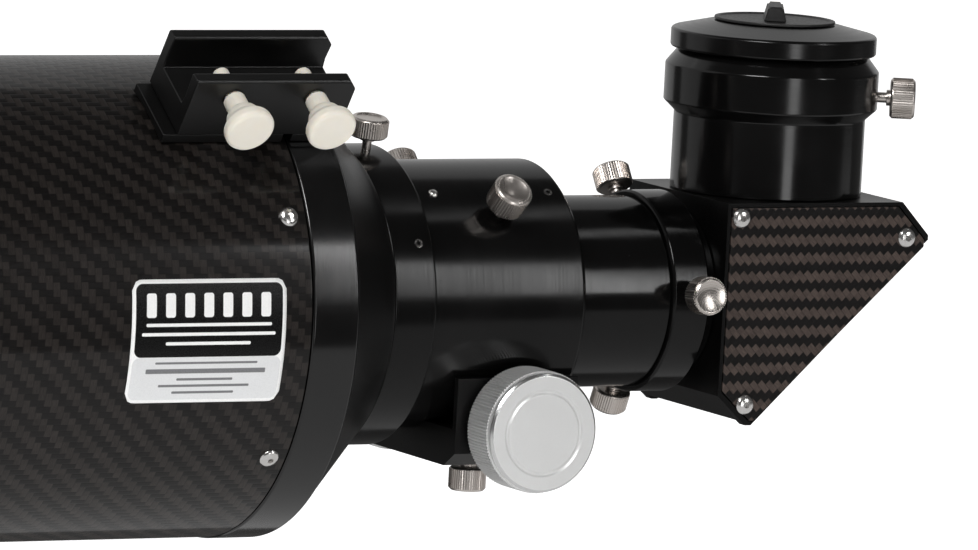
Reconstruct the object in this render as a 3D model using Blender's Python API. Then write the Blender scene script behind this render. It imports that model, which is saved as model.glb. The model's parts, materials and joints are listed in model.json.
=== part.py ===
"""Refractor telescope: optical tube in cradle rings, with focuser, star diagonal and finder shoe.

Sizes are in millimetres and become metres as each mesh is made. Everything hangs from one
empty, optical_axis: its x runs along the light path towards the eyepiece, 0 at the rear end
of the main tube, z is up, and -y is the side of the large focusing knob with a plain face.
The world origin is the middle of the dovetail bar's underside.
"""
import math
import bmesh
import bpy
from mathutils import Matrix, Vector

MM = 0.001
GAP = 0.3                        # clearance between neighbouring fixed pieces
RUN = 0.03                       # least radial clearance of a shaft in its bearing
LARGE, MIDDLE, SMALL = 48, 32, 14    # facets round large, middling and small turned pieces

# objective and main tube
LENS_R = 63.5                    # 127 mm clear aperture
TUBE_R, TUBE_WALL, TUBE_LEN = LENS_R + 12.5, 3.0, 640.0
TUBE_BORE = TUBE_R - TUBE_WALL
CELL_R, CELL_LEN, SPIGOT = TUBE_R + 4.0, 54.0, 14.0
SHIELD_BORE = CELL_R + 2.6
SHIELD_R, SHIELD_LEN = SHIELD_BORE + 2.4, 195.0
SHIELD_REAR = -TUBE_LEN + 110.0  # rear edge of the dew shield when pushed back
LENS_EDGES = (9.0, 14.0, 10.0)   # rim thickness of the rear, middle and front elements
LENS_BULGE = ((1.4, 1.2), (-2.6, -1.4), (3.0, 2.0))
LENS_AIR = 2.2
BAFFLE_SHARES, LIGHT_TAPER = (0.27, 0.53, 0.80), 0.45   # places along the tube, narrowing of the light

# radii of the focuser, all from the 2 inch barrel that slides into it
NOSE_R = 25.4
NOSE_BORE = NOSE_R - 2.4
DRAW_BORE = NOSE_R + 2.0
DRAW_R = DRAW_BORE + 3.4
DRAW_BEARING = DRAW_R + 0.1
BODY_R = DRAW_R + 11.9
SEAT_R, SEAT_DEPTH = BODY_R - 5.7, 8.0   # rotating spigot of the focuser body

# rear end, from the tube towards the eyepiece
RING_R, RING_END = TUBE_R + 0.4, 16.4
CONE_END, CONE_R0, CONE_R1 = RING_END + 27.1, RING_R - 1.4, BODY_R + 6.7
COLLAR_END, COLLAR_R = CONE_END + 15.8, CONE_R1 - 1.5
BODY_LEN = 56.8
BODY_START = COLLAR_END + GAP
BODY_END = BODY_START + BODY_LEN
DRAW_START, DRAW_END = CONE_END + 2.5, BODY_END + 36.8
HOLDER_R, HOLDER_END = DRAW_R + 1.7, DRAW_END + 13.7

# rack and pinion
PITCH_R, TEETH = 4.0, 16
PINION_X, PINION_Z = BODY_END - 21.4, -(DRAW_R + PITCH_R + 2.5)
SHAFT_R, WELL = 3.0, PITCH_R + 2.0
RACK_HALF_W = 3.5
BLOCK_START, BLOCK_END = BODY_START + 13.1, BODY_END - 0.4
BLOCK_HALF_W, BLOCK_TOP, BLOCK_BASE = BODY_R - 3.2, -(BODY_R - 4.7), -(BODY_R + 7.9)
KNOB_R, KNOB_BACK, KNOB_FACE = 19.4, BLOCK_HALF_W + 1.2, BLOCK_HALF_W + 17.5
FINE_R, FINE_LEN = 11.0, 12.5

# star diagonal
DIAG_FRONT = HOLDER_END + 4.8
DIAG_HALF_W, PLATE_T, PLATE_EDGE, CHEEK = NOSE_R + 7.1, 1.2, 1.5, 2.4
EYE_X = DIAG_FRONT + NOSE_R + 6.7        # eyepiece axis
DIAG_TOP, DIAG_BASE = NOSE_R + 6.6, -(NOSE_R + 14.4)
MIRROR_T, MIRROR_HALF_W, MIRROR_HALF_L = 9.5, NOSE_R + 0.2, math.sqrt(2) * NOSE_R + 0.6
BARREL_R = NOSE_R + 5.6
BAND_R, BAND_START, BAND_END = BARREL_R + 3.6, DIAG_TOP + 25.0, DIAG_TOP + 40.4
BARREL_TOP = BAND_END + 5.0
FLANGE_R, FLANGE_T = BARREL_R + 2.3, 6.3
SMALL_BORE = 15.95               # 1.25 inch eyepiece bore

# finder shoe, tilted from straight up towards the -y side
SHOE_TILT = math.radians(34.5)
SHOE_START, SHOE_END, SHOE_HALF_W = -39.5, 16.5, 12.6
SHOE_SEAT, SHOE_WALL = TUBE_R + 3.0, 4.6
SHOE_FLOOR, SHOE_TOP = SHOE_SEAT + 9.6, SHOE_SEAT + 21.8
SHOE_SCREWS = (("shoe_screw_front", -25.0), ("shoe_screw_rear", 3.5))

# cradle rings and dovetail bar
CRADLE_X = (-0.72 * TUBE_LEN, -0.31 * TUBE_LEN)
CRADLE_HALF_L, CRADLE_BORE, CRADLE_R = 15.0, TUBE_R + 0.4, TUBE_R + 8.0
PIN_R = 3.0
KNUCKLE_R, KNUCKLE_HALF = PIN_R + 4.0, 5.0
PIN_OUT = KNUCKLE_R + 1.0
BOLT_R, BOLT_OUT, EAR = 3.0, 13.0, 22.0
BAR_TOP, BAR_T, BAR_HALF_W, BAR_HALF_L = -(CRADLE_R + 8.0), 14.0, 37.5, 170.0
AXIS_HEIGHT = BAR_T - BAR_TOP
BAR_CENTRE = sum(CRADLE_X) / 2

FINISHES = {                     # base colour, roughness, metallic
    "carbon": ((0.030, 0.026, 0.025, 1), 0.25, 0.0),
    "anodised": ((0.018, 0.016, 0.016, 1), 0.30, 0.6),
    "inner_black": ((0.01, 0.01, 0.01, 1), 0.80, 0.0),
    "nickel": ((0.62, 0.57, 0.54, 1), 0.22, 1.0),
    "satin_silver": ((0.80, 0.80, 0.79, 1), 0.35, 0.8),
    "steel": ((0.55, 0.54, 0.53, 1), 0.30, 1.0),
    "brass": ((0.72, 0.52, 0.24, 1), 0.30, 1.0),
    "nylon": ((0.86, 0.83, 0.76, 1), 0.45, 0.0),
    "glass": ((0.80, 0.88, 0.86, 1), 0.05, 0.0),
    "mirror": ((0.93, 0.93, 0.93, 1), 0.03, 1.0),
    "black_plastic": ((0.02, 0.02, 0.02, 1), 0.40, 0.0),
}

# outline frames: columns are where an outline's a, b and push direction c point
SIDE = Matrix(((1, 0, 0), (0, 0, -1), (0, 1, 0))).to_4x4()       # a along x, b up, c to -y
END = Matrix(((0, 0, 1), (1, 0, 0), (0, 1, 0))).to_4x4()         # a along y, b up, c along x
TILT_S, TILT_C = math.sin(SHOE_TILT), math.cos(SHOE_TILT)
SHOE = Matrix(((0, 0, 1), (TILT_C, -TILT_S, 0), (TILT_S, TILT_C, 0))).to_4x4()
SHOE_LONG = Matrix(((1, 0, 0), (0, -TILT_S, -TILT_C), (0, TILT_C, -TILT_S))).to_4x4()


# ---------------------------------------------------------------- modelling helpers
def finish(name):
    material = bpy.data.materials.get(name)
    if material is None:
        colour, roughness, metallic = FINISHES[name]
        material = bpy.data.materials.new(name)
        material.use_nodes = True
        shader = material.node_tree.nodes["Principled BSDF"]
        shader.inputs["Base Color"].default_value = colour
        shader.inputs["Roughness"].default_value = roughness
        shader.inputs["Metallic"].default_value = metallic
    return material


def add_node(name, shape, frame, finish_name):
    """Turn a bmesh in millimetres into an object placed by frame on the optical axis."""
    bmesh.ops.remove_doubles(shape, verts=shape.verts, dist=1e-4)
    bmesh.ops.recalc_face_normals(shape, faces=shape.faces)
    bmesh.ops.scale(shape, vec=(MM, MM, MM), verts=shape.verts)
    mesh = bpy.data.meshes.new(name)
    shape.to_mesh(mesh)
    shape.free()
    mesh.shade_smooth()
    mesh.set_sharp_from_angle(angle=math.radians(30))
    node = bpy.data.objects.new(name, mesh)
    bpy.context.scene.collection.objects.link(node)
    node.parent = bpy.data.objects["optical_axis"]
    move = frame.copy()
    move.translation *= MM
    node.matrix_basis = move
    if finish_name:
        mesh.materials.append(finish(finish_name))
    return node


def axis_frame(origin, direction):
    turn = Vector(direction).normalized().to_track_quat('Z', 'Y').to_matrix().to_4x4()
    return Matrix.Translation(Vector(origin)) @ turn


def turned(name, profile, finish_name, origin=(0, 0, 0), direction=(1, 0, 0), facets=MIDDLE):
    """Spin a closed outline of (distance along the axis, radius) once round the axis."""
    shape = bmesh.new()
    ring = [shape.verts.new((radius, 0, along)) for along, radius in profile]
    edges = [shape.edges.new((ring[i - 1], ring[i])) for i in range(len(ring))
             if profile[i - 1][1] > 0 or profile[i][1] > 0]
    bmesh.ops.spin(shape, geom=ring + edges, cent=(0, 0, 0), axis=(0, 0, 1), dvec=(0, 0, 0),
                   angle=2 * math.pi, steps=facets, use_merge=True)
    return add_node(name, shape, axis_frame(origin, direction), finish_name)


def pushed(name, outline, low, high, finish_name, frame):
    """Push an outline of (a, b) points from c=low to c=high in a frame."""
    shape = bmesh.new()
    face = shape.faces.new([shape.verts.new((a, b, low)) for a, b in outline])
    grown = bmesh.ops.extrude_face_region(shape, geom=[face])
    moved = [v for v in grown["geom"] if isinstance(v, bmesh.types.BMVert)]
    bmesh.ops.translate(shape, vec=(0, 0, high - low), verts=moved)
    return add_node(name, shape, frame, finish_name)


def sleeve(name, x0, x1, bore, radius, finish_name, **place):
    outline = [(x0, bore), (x0, radius), (x1, radius), (x1, bore)]
    return turned(name, outline, finish_name, **place)


def rod_cutter(origin, direction, low, high, radius, facets=SMALL):
    return turned("cutter", [(low, 0), (low, radius), (high, radius), (high, 0)], None,
                  origin, direction, facets)


def block_cutter(x, y, z):
    outline = [(x[0], z[0]), (x[1], z[0]), (x[1], z[1]), (x[0], z[1])]
    return pushed("cutter", outline, -y[1], -y[0], None, SIDE)


def boolean(node, other, operation='DIFFERENCE'):
    other.hide_render = True
    other.display_type = 'WIRE'
    step = node.modifiers.new(operation.lower(), 'BOOLEAN')
    step.operation, step.solver, step.object = operation, 'EXACT', other


def set_origin(node, point):
    """Move an object's origin to a point on the optical_axis frame, leaving its shape."""
    shift = node.matrix_basis.inverted() @ (Vector(point) * MM)
    node.data.transform(Matrix.Translation(-shift))
    node.matrix_basis = node.matrix_basis @ Matrix.Translation(shift)


def bearing(radius, facets):
    """Radius of a faceted bore in which a faceted shaft turns without touching."""
    return radius / math.cos(math.pi / facets) + RUN


def arc(radius, start, end, steps):
    angles = [math.radians(start + (end - start) * i / steps) for i in range(steps + 1)]
    return [(radius * math.cos(a), radius * math.sin(a)) for a in angles]


def around(angle):
    """Direction square to the optical axis: 0 points at -y, 90 points up."""
    a = math.radians(angle)
    return (0.0, -math.cos(a), math.sin(a))


def thumbscrew(name, origin, direction, tip, shoulder, head_len, head_r, stem_r):
    """Stem from tip to shoulder, then a chamfered head with a dished face."""
    end, edge, dish = shoulder + head_len, 0.5, 0.8
    outline = [(tip, 0), (tip, stem_r), (shoulder, stem_r), (shoulder, head_r - edge),
               (shoulder + edge, head_r), (end - edge, head_r), (end, head_r - edge),
               (end, head_r - 2 * dish), (end - dish, head_r - 3 * dish), (end - dish, 0)]
    return turned(name, outline, "nickel", origin, direction, SMALL)


def screw_hole(node, origin, direction, low, high, stem_r):
    boolean(node, rod_cutter(origin, direction, low, high, stem_r + GAP))


def new_scene():
    for old in list(bpy.data.objects):
        bpy.data.objects.remove(old, do_unlink=True)
    axis = bpy.data.objects.new("optical_axis", None)
    bpy.context.scene.collection.objects.link(axis)
    axis.location = (-BAR_CENTRE * MM, 0, AXIS_HEIGHT * MM)


# ---------------------------------------------------------------- tube and objective
def main_tube():
    sleeve("main_tube", -TUBE_LEN, 0, TUBE_BORE, TUBE_R, "carbon", facets=LARGE)
    for number, share in enumerate(BAFFLE_SHARES, 1):
        x, opening = -TUBE_LEN * (1 - share), LENS_R * (1 - LIGHT_TAPER * share)
        sleeve("baffle_%d" % number, x, x + 2.5, opening, TUBE_BORE - GAP, "inner_black")


def lens(name, x0, x1, bulge0, bulge1):
    """Element whose rim runs from x0 to x1, each face curving out by its bulge."""
    rings = 3
    shares = [k / rings for k in range(rings + 1)]
    front = [(x0 - bulge0 * (1 - s * s), LENS_R * s) for s in shares]
    back = [(x1 + bulge1 * (1 - s * s), LENS_R * s) for s in reversed(shares)]
    turned(name, front + back, "glass")


def objective():
    mouth = -TUBE_LEN - GAP
    seat, ledge, lip = mouth + SPIGOT, LENS_R - 4, 6.0
    pocket = LENS_R + GAP
    outline = [(mouth - CELL_LEN, pocket), (mouth - CELL_LEN, CELL_R - 1),
               (mouth - CELL_LEN + 1, CELL_R), (mouth, CELL_R), (mouth, TUBE_BORE - GAP),
               (seat, TUBE_BORE - GAP), (seat, ledge), (seat - lip, ledge), (seat - lip, pocket)]
    turned("objective_cell", outline, "anodised", facets=LARGE)
    x, rims = seat - lip - GAP, []
    for edge in LENS_EDGES:
        rims.append((x - edge, x))
        x -= edge + LENS_AIR
    for name, (x0, x1), bulges in zip(("lens_rear", "lens_middle", "lens_front"), rims, LENS_BULGE):
        lens(name, x0, x1, *bulges)
    for name, left, right in (("lens_spacer_rear", rims[1][1], rims[0][0]),
                              ("lens_spacer_front", rims[2][1], rims[1][0])):
        sleeve(name, left + GAP, right - GAP, LENS_R - 2.5, LENS_R, "inner_black")
    edge = rims[2][0] - GAP
    sleeve("lens_retaining_ring", edge - 6, edge, LENS_R - 3, LENS_R, "anodised")


def dew_shield():
    rear, lead = SHIELD_REAR, SHIELD_REAR - SHIELD_LEN
    foot, rib, rim = 11.0, SHIELD_R + 1.0, SHIELD_R + 1.4
    outline = [(lead, SHIELD_BORE), (lead, rim), (lead + 9, rim), (lead + 10, SHIELD_R),
               (rear - foot - 1, SHIELD_R), (rear - foot, rib), (rear - 1, rib), (rear, SHIELD_R),
               (rear, TUBE_R + GAP), (rear - foot, TUBE_R + GAP), (rear - foot, SHIELD_BORE)]
    shield = turned("dew_shield", outline, "anodised", facets=LARGE)
    spot, stem = (rear - foot / 2, 0, 0), 2.0
    screw_hole(shield, spot, around(60), TUBE_R - 1, SHIELD_R + 4, stem)
    thumbscrew("dew_shield_lock_screw", spot, around(60), TUBE_R + 1.2, SHIELD_R + 3.2, 7.8, 6.2, stem)


# ---------------------------------------------------------------- rear end and focuser
def rear_end():
    fit, inner, edge = TUBE_BORE - GAP, TUBE_BORE - 4, 0.7
    outline = [(-SPIGOT, inner), (-SPIGOT, fit), (GAP, fit), (GAP, RING_R - edge),
               (GAP + edge, RING_R), (RING_END - edge, RING_R), (RING_END, RING_R - edge),
               (RING_END, inner)]
    turned("rear_end_ring", outline, "anodised", facets=LARGE)
    start, wall = RING_END + GAP, 6.0
    outline = [(start, CONE_R0 - wall), (start, CONE_R0), (CONE_END - 1, CONE_R1 + 0.6),
               (CONE_END, CONE_R1), (CONE_END, CONE_R1 - 9), (CONE_END - 4, CONE_R1 - 9)]
    turned("rear_cone", outline, "anodised", facets=LARGE)
    start, socket = CONE_END + GAP, bearing(SEAT_R, MIDDLE)
    outline = [(start, socket), (start, COLLAR_R - edge), (start + edge, COLLAR_R),
               (COLLAR_END - edge, COLLAR_R), (COLLAR_END, COLLAR_R - edge), (COLLAR_END, socket)]
    collar = turned("focuser_collar", outline, "anodised")
    spot, stem = (COLLAR_END - 7.3, 0, 0), 1.5
    screw_hole(collar, spot, around(80), SEAT_R - 2, COLLAR_R + 8, stem)
    thumbscrew("collar_lock_screw", spot, around(80), SEAT_R + 1.2, COLLAR_R + 4.4, 6.5, 6.3, stem)


def focuser_body():
    edge = 0.8
    outline = [(BODY_START - SEAT_DEPTH, DRAW_BEARING), (BODY_START - SEAT_DEPTH, SEAT_R),
               (BODY_START, SEAT_R), (BODY_START, BODY_R - edge), (BODY_START + edge, BODY_R),
               (BODY_END - edge, BODY_R), (BODY_END, BODY_R - edge), (BODY_END, DRAW_BEARING)]
    body = turned("focuser_body", outline, "anodised")
    rack_room, past = RACK_HALF_W + 0.7, 60.0
    boolean(body, block_cutter((BODY_START - past, BODY_END + past), (-rack_room, rack_room),
                               (-(DRAW_R + 4.2), -(DRAW_R - 6))))
    boolean(body, block_cutter((BLOCK_START - GAP, BODY_END + past), (-past, past),
                               (-BODY_R - past, BLOCK_TOP)))
    boolean(body, block_cutter((PINION_X - WELL, PINION_X + WELL), (-WELL, WELL),
                               (BLOCK_TOP - past, -(DRAW_R - 1))))
    axle = (PINION_X, 0, PINION_Z)
    boolean(body, rod_cutter(axle, (0, 1, 0), -past, past, bearing(SHAFT_R, SMALL)))
    spot, stem = (BODY_END - 27.4, 0, 0), 2.0
    for name, angle in (("focuser_lock_screw", 44), ("drawtube_tension_screw", 136)):
        screw_hole(body, spot, around(angle), DRAW_R - 5, BODY_R + 8, stem)
        thumbscrew(name, spot, around(angle), DRAW_R + 0.8, BODY_R + 3.9, 8.6, 6.5, stem)


def pinion_block():
    """Saddle under the body: a base with a cheek up each side, bored for the shaft."""
    half, cheek = BLOCK_HALF_W, BLOCK_TOP + 16
    inside = math.sqrt(BODY_R ** 2 - cheek ** 2) + 2 * GAP
    top, base = BLOCK_TOP - GAP, BLOCK_BASE
    outline = [(-half, cheek), (-half, base + 4.6), (7 - half, base), (half - 7, base),
               (half, base + 4.6), (half, cheek), (inside, cheek), (inside, top),
               (-inside, top), (-inside, cheek)]
    block = pushed("pinion_block", outline, BLOCK_START, BLOCK_END, "anodised", END)
    axle, past = (PINION_X, 0, PINION_Z), 60.0
    boolean(block, rod_cutter(axle, (0, 1, 0), -past, past, bearing(SHAFT_R, SMALL)))
    boolean(block, block_cutter((PINION_X - WELL, PINION_X + WELL), (-WELL, WELL),
                                (PINION_Z - WELL, past)))
    spot, down, stem = (BODY_END - 27.9, -20, 0), (0, 0, -1), 2.0
    screw_hole(block, spot, down, -top - 3, -base + 9, stem)
    thumbscrew("pinion_tension_screw", spot, down, -top + 6, -base + 2.4, 7.6, 6.1, stem)


def drawtube():
    sleeve("drawtube", DRAW_START, DRAW_END, DRAW_BORE, DRAW_R, "anodised")
    pitch = 2 * math.pi * PITCH_R / TEETH
    tip, root = PINION_Z + PITCH_R + 0.25, PINION_Z + PITCH_R + 1.15
    start, back = DRAW_START + 2, -DRAW_R - GAP
    count = int((BODY_END + 21.6 - start) / pitch)
    outline = [(start, back)]
    for k in range(count):
        x = start + k * pitch
        outline += [(x, root), (x + 0.22 * pitch, tip), (x + 0.5 * pitch, tip), (x + 0.72 * pitch, root)]
    outline += [(start + count * pitch, root), (start + count * pitch, back)]
    pushed("drawtube_rack", outline, -RACK_HALF_W, RACK_HALF_W, "steel", SIDE)


def pinion():
    axle = (PINION_X, 0, PINION_Z)
    far_end = KNOB_FACE + 5
    outline = [(-KNOB_FACE + 4, 0), (-KNOB_FACE + 4, SHAFT_R), (far_end, SHAFT_R), (far_end, 0)]
    shaft = turned("pinion_shaft", outline, "steel", axle, (0, 1, 0), SMALL)
    gear, root, tip = [], PITCH_R - 0.8, PITCH_R - 0.05
    for k in range(TEETH):
        for part, r in ((0.0, root), (0.22, tip), (0.5, tip), (0.72, root)):
            angle = 2 * math.pi * (k + part) / TEETH
            gear.append((r * math.cos(angle), r * math.sin(angle)))
    half = WELL - 1.5
    boolean(shaft, pushed("gear", gear, -half, half, None, Matrix.Translation(axle) @ SIDE), 'UNION')

    hole, edge, back, face = SHAFT_R + GAP, 1.2, KNOB_BACK, KNOB_FACE
    groove = 0.71 * KNOB_R
    rim = [(back, hole), (back, KNOB_R - edge), (back + edge, KNOB_R), (face - edge, KNOB_R),
           (face, KNOB_R - edge), (face, groove + 0.5), (face - 0.7, groove), (face, groove - 0.5)]
    blind = [(face, 0), (face - 3.5, 0), (face - 3.5, hole)]
    turned("coarse_knob_near", rim + blind, "satin_silver", axle, (0, -1, 0))
    turned("coarse_knob_far", rim + [(face, hole)], "satin_silver", axle, (0, 1, 0))
    start = face + 1.5
    end = start + FINE_LEN
    outline = [(start, hole), (start, FINE_R - 1), (start + 1, FINE_R), (end - 1, FINE_R),
               (end, FINE_R - 1), (end, 0), (far_end + GAP, 0), (far_end + GAP, hole)]
    turned("fine_focus_knob", outline, "anodised", axle, (0, 1, 0))


def eyepiece_holder():
    start, grip, edge, lip = DRAW_END + GAP, NOSE_R + GAP, 0.7, 4.0
    deep = grip + 1.9
    outline = [(start, grip), (start, HOLDER_R - edge), (start + edge, HOLDER_R),
               (HOLDER_END - edge, HOLDER_R), (HOLDER_END, HOLDER_R - edge), (HOLDER_END, grip),
               (HOLDER_END - lip, grip), (HOLDER_END - lip, deep), (start + lip, deep),
               (start + lip, grip)]
    holder = turned("eyepiece_holder", outline, "anodised")
    band = sleeve("holder_clamp_band", start + lip + GAP, HOLDER_END - lip - GAP, grip, grip + 1.2, "brass")
    boolean(band, block_cutter((start, HOLDER_END), (-1.5, 1.5), (-2 * NOSE_R, 0)))
    spot, stem = ((start + HOLDER_END) / 2, 0, 0), 1.7
    for name, angle in (("holder_screw_near", 5), ("holder_screw_top", 125), ("holder_screw_bottom", 245)):
        screw_hole(holder, spot, around(angle), NOSE_R + 1, HOLDER_R + 8, stem)
        thumbscrew(name, spot, around(angle), grip + 1.5, HOLDER_R + 4.9, 7.2, 6.2, stem)


# ---------------------------------------------------------------- star diagonal
def diagonal():
    shoulder = NOSE_R + 2.1
    outline = [(HOLDER_END - 40, NOSE_BORE), (HOLDER_END - 40, NOSE_R), (HOLDER_END + 2, NOSE_R),
               (HOLDER_END + 2, shoulder), (DIAG_FRONT - GAP, shoulder), (DIAG_FRONT - GAP, NOSE_BORE)]
    turned("nosepiece", outline, "anodised")

    # the housing and, a rim narrower, the plate let into each of its sides
    def side_outline(inset):
        front, top, base = DIAG_FRONT + inset, DIAG_TOP - inset, DIAG_BASE + inset
        back = EYE_X + NOSE_R + 17.6 - inset
        return [(front, top), (back - 10.2, top), (back, top - 10.8), (back, top - 12.3 - inset / 2),
                (front + 12.7 - inset / 2, base), (front + 10.6, base), (front, base + 9.6)]

    side = DIAG_HALF_W - PLATE_T
    rim, floor, inner = DIAG_HALF_W - 0.2, side - GAP, side - GAP - CHEEK
    housing = pushed("diagonal_housing", side_outline(0), -rim, rim, "anodised", SIDE)
    for start, end in ((floor, 2 * rim), (-2 * rim, -floor)):
        boolean(housing, pushed("cutter", side_outline(PLATE_EDGE - GAP), start, end, None, SIDE))
    pushed("diagonal_plate_near", side_outline(PLATE_EDGE), side, DIAG_HALF_W, "carbon", SIDE)
    pushed("diagonal_plate_far", side_outline(PLATE_EDGE), -DIAG_HALF_W, -side, "carbon", SIDE)

    # the mirror leans at 45 degrees across the crossing of the two light paths
    lean = Matrix.Translation((EYE_X, 0, 0)) @ Matrix.Rotation(math.radians(135), 4, 'Y') \
        @ Matrix.Rotation(math.radians(90), 4, 'Z')

    def slab(half_w, half_l):
        return [(-half_w, -half_l), (half_w, -half_l), (half_w, half_l), (-half_w, half_l)]

    light, past, seat = NOSE_BORE + 0.5, 60.0, MIRROR_T + 1.5
    crossing = (EYE_X, 0, 0)
    boolean(housing, rod_cutter(crossing, (-1, 0, 0), -0.6, past, light, MIDDLE))
    boolean(housing, rod_cutter(crossing, (0, 0, 1), -0.9, past, light + 0.1, MIDDLE))
    pocket = slab(MIRROR_HALF_W + GAP, MIRROR_HALF_L + GAP)
    boolean(housing, pushed("cutter", pocket, -0.4, past, None, lean))
    boolean(housing, pushed("cutter", slab(inner, 70), seat, past, None, lean))
    pushed("diagonal_mirror", slab(MIRROR_HALF_W, MIRROR_HALF_L), 0, MIRROR_T, "mirror", lean)
    pushed("diagonal_back_plate", slab(inner - GAP, MIRROR_HALF_L + 3.5), seat + GAP, seat + 2.8,
           "anodised", lean)


def eyepiece_barrel():
    up, eye, grip = (0, 0, 1), (EYE_X, 0, 0), NOSE_R + GAP
    start, deep, bevel = DIAG_TOP + GAP, grip + 2.0, 3.4
    outline = [(start, grip), (start, BARREL_R), (BAND_START, BARREL_R), (BAND_START + bevel, BAND_R),
               (BAND_END, BAND_R), (BARREL_TOP, BAND_R - 4), (BARREL_TOP, grip), (BAND_END - 1, grip),
               (BAND_END - 1, deep), (BAND_START + 3, deep), (BAND_START + 3, grip)]
    barrel = turned("eyepiece_barrel", outline, "anodised", eye, up)
    spot, stem = (EYE_X, 0, BAND_START + 7.3), 1.7
    turn = math.radians(-29)
    out = (math.cos(turn), math.sin(turn), 0)
    screw_hole(barrel, spot, out, NOSE_R + 0.6, BAND_R + 8, stem)
    thumbscrew("eyepiece_lock_screw", spot, out, grip + 1.6, BAND_R + 4, 8.0, 6.7, stem)
    band = sleeve("barrel_clamp_band", BAND_START + 3 + GAP, BAND_END - 1 - GAP, grip, grip + 1.2,
                  "brass", origin=eye, direction=up)
    boolean(band, block_cutter((EYE_X - 2 * NOSE_R, EYE_X), (-1.5, 1.5), (BAND_START, BAND_END)))


def adapter_and_plug():
    up, eye, edge = (0, 0, 1), (EYE_X, 0, 0), 0.5
    base = BARREL_TOP + GAP
    rim, crown = base + FLANGE_T, base + FLANGE_T + 2.9
    outline = [(base - 32, SMALL_BORE), (base - 32, NOSE_R), (base, NOSE_R), (base, FLANGE_R - edge),
               (base + edge, FLANGE_R), (rim - edge, FLANGE_R), (rim, FLANGE_R - edge),
               (crown, SMALL_BORE + 4.6), (crown, SMALL_BORE)]
    turned("eyepiece_adapter", outline, "anodised", eye, up)
    seat, lip = crown + GAP, SMALL_BORE + 3.6
    outline = [(seat - 16, 0), (seat - 16, SMALL_BORE - GAP), (seat, SMALL_BORE - GAP), (seat, lip),
               (seat + 0.9, lip), (seat + 0.9, lip - 1.4), (seat + 0.4, lip - 2), (seat + 0.4, 0)]
    plug = turned("dust_plug", outline, "black_plastic", eye, up)
    tab = [(-3.7, seat + 0.2), (3.7, seat + 0.2), (2.1, seat + 5.4), (-2.1, seat + 5.4)]
    frame = Matrix.Translation(eye) @ Matrix.Rotation(math.radians(-29), 4, 'Z') @ SIDE
    boolean(plug, pushed("tab", tab, -10, 10, None, frame), 'UNION')


# ---------------------------------------------------------------- finder shoe
def finder_shoe():
    half, wall, seat, floor, top = SHOE_HALF_W, SHOE_WALL, SHOE_SEAT, SHOE_FLOOR, SHOE_TOP
    edge, inner = 0.8, SHOE_HALF_W - SHOE_WALL
    right = [(half, seat), (half, top - edge), (half - edge, top), (inner + edge, top),
             (inner, top - edge), (inner + 0.6, floor + 3), (inner, floor)]
    channel = right + [(-a, b) for a, b in reversed(right)]
    shoe = pushed("finder_shoe", channel, SHOE_START, SHOE_END, "anodised", SHOE)
    corner = [(SHOE_END - 3.5, top + 1), (SHOE_END + 1, top + 1), (SHOE_END + 1, top - 4.5)]
    boolean(shoe, pushed("cutter", corner, -2 * half, 2 * half, None, SHOE_LONG))

    # two feet with curved undersides: one on the tube, one on the end ring
    for name, radius, x0, x1 in (("shoe_base", TUBE_R, -44.0, -2.0),
                                 ("shoe_rear_foot", RING_R, 1.0, RING_END - 1)):
        width = half - 0.4
        span = math.degrees(math.asin(width / (radius + GAP)))
        under = arc(radius + GAP, 90 - span, 90 + span, 8)
        outline = under + [(-width, seat - GAP), (width, seat - GAP)]
        pushed(name, outline, x0, x1, "anodised", SHOE)

    out, neck, head = SHOE.to_3x3() @ Vector((-1, 0, 0)), 2.7, 8.0
    for name, x in SHOE_SCREWS:
        origin = SHOE @ Vector((0, (floor + top) / 2 - 0.9, x))
        screw_hole(shoe, origin, out, 4, 20, neck)
        outline = [(0.5, 0), (0.5, neck), (half + 0.6, neck), (half + 0.6, 3.5), (half + 7, 3.5),
                   (half + 7.6, 5.2), (half + 9.6, 5.4), (half + 10.4, head - 0.8),
                   (half + 12, head - 0.1), (half + 15, head), (half + 15.8, head - 0.6), (half + 15.8, 0)]
        turned(name, outline, "nylon", origin, out, 20)


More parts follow.
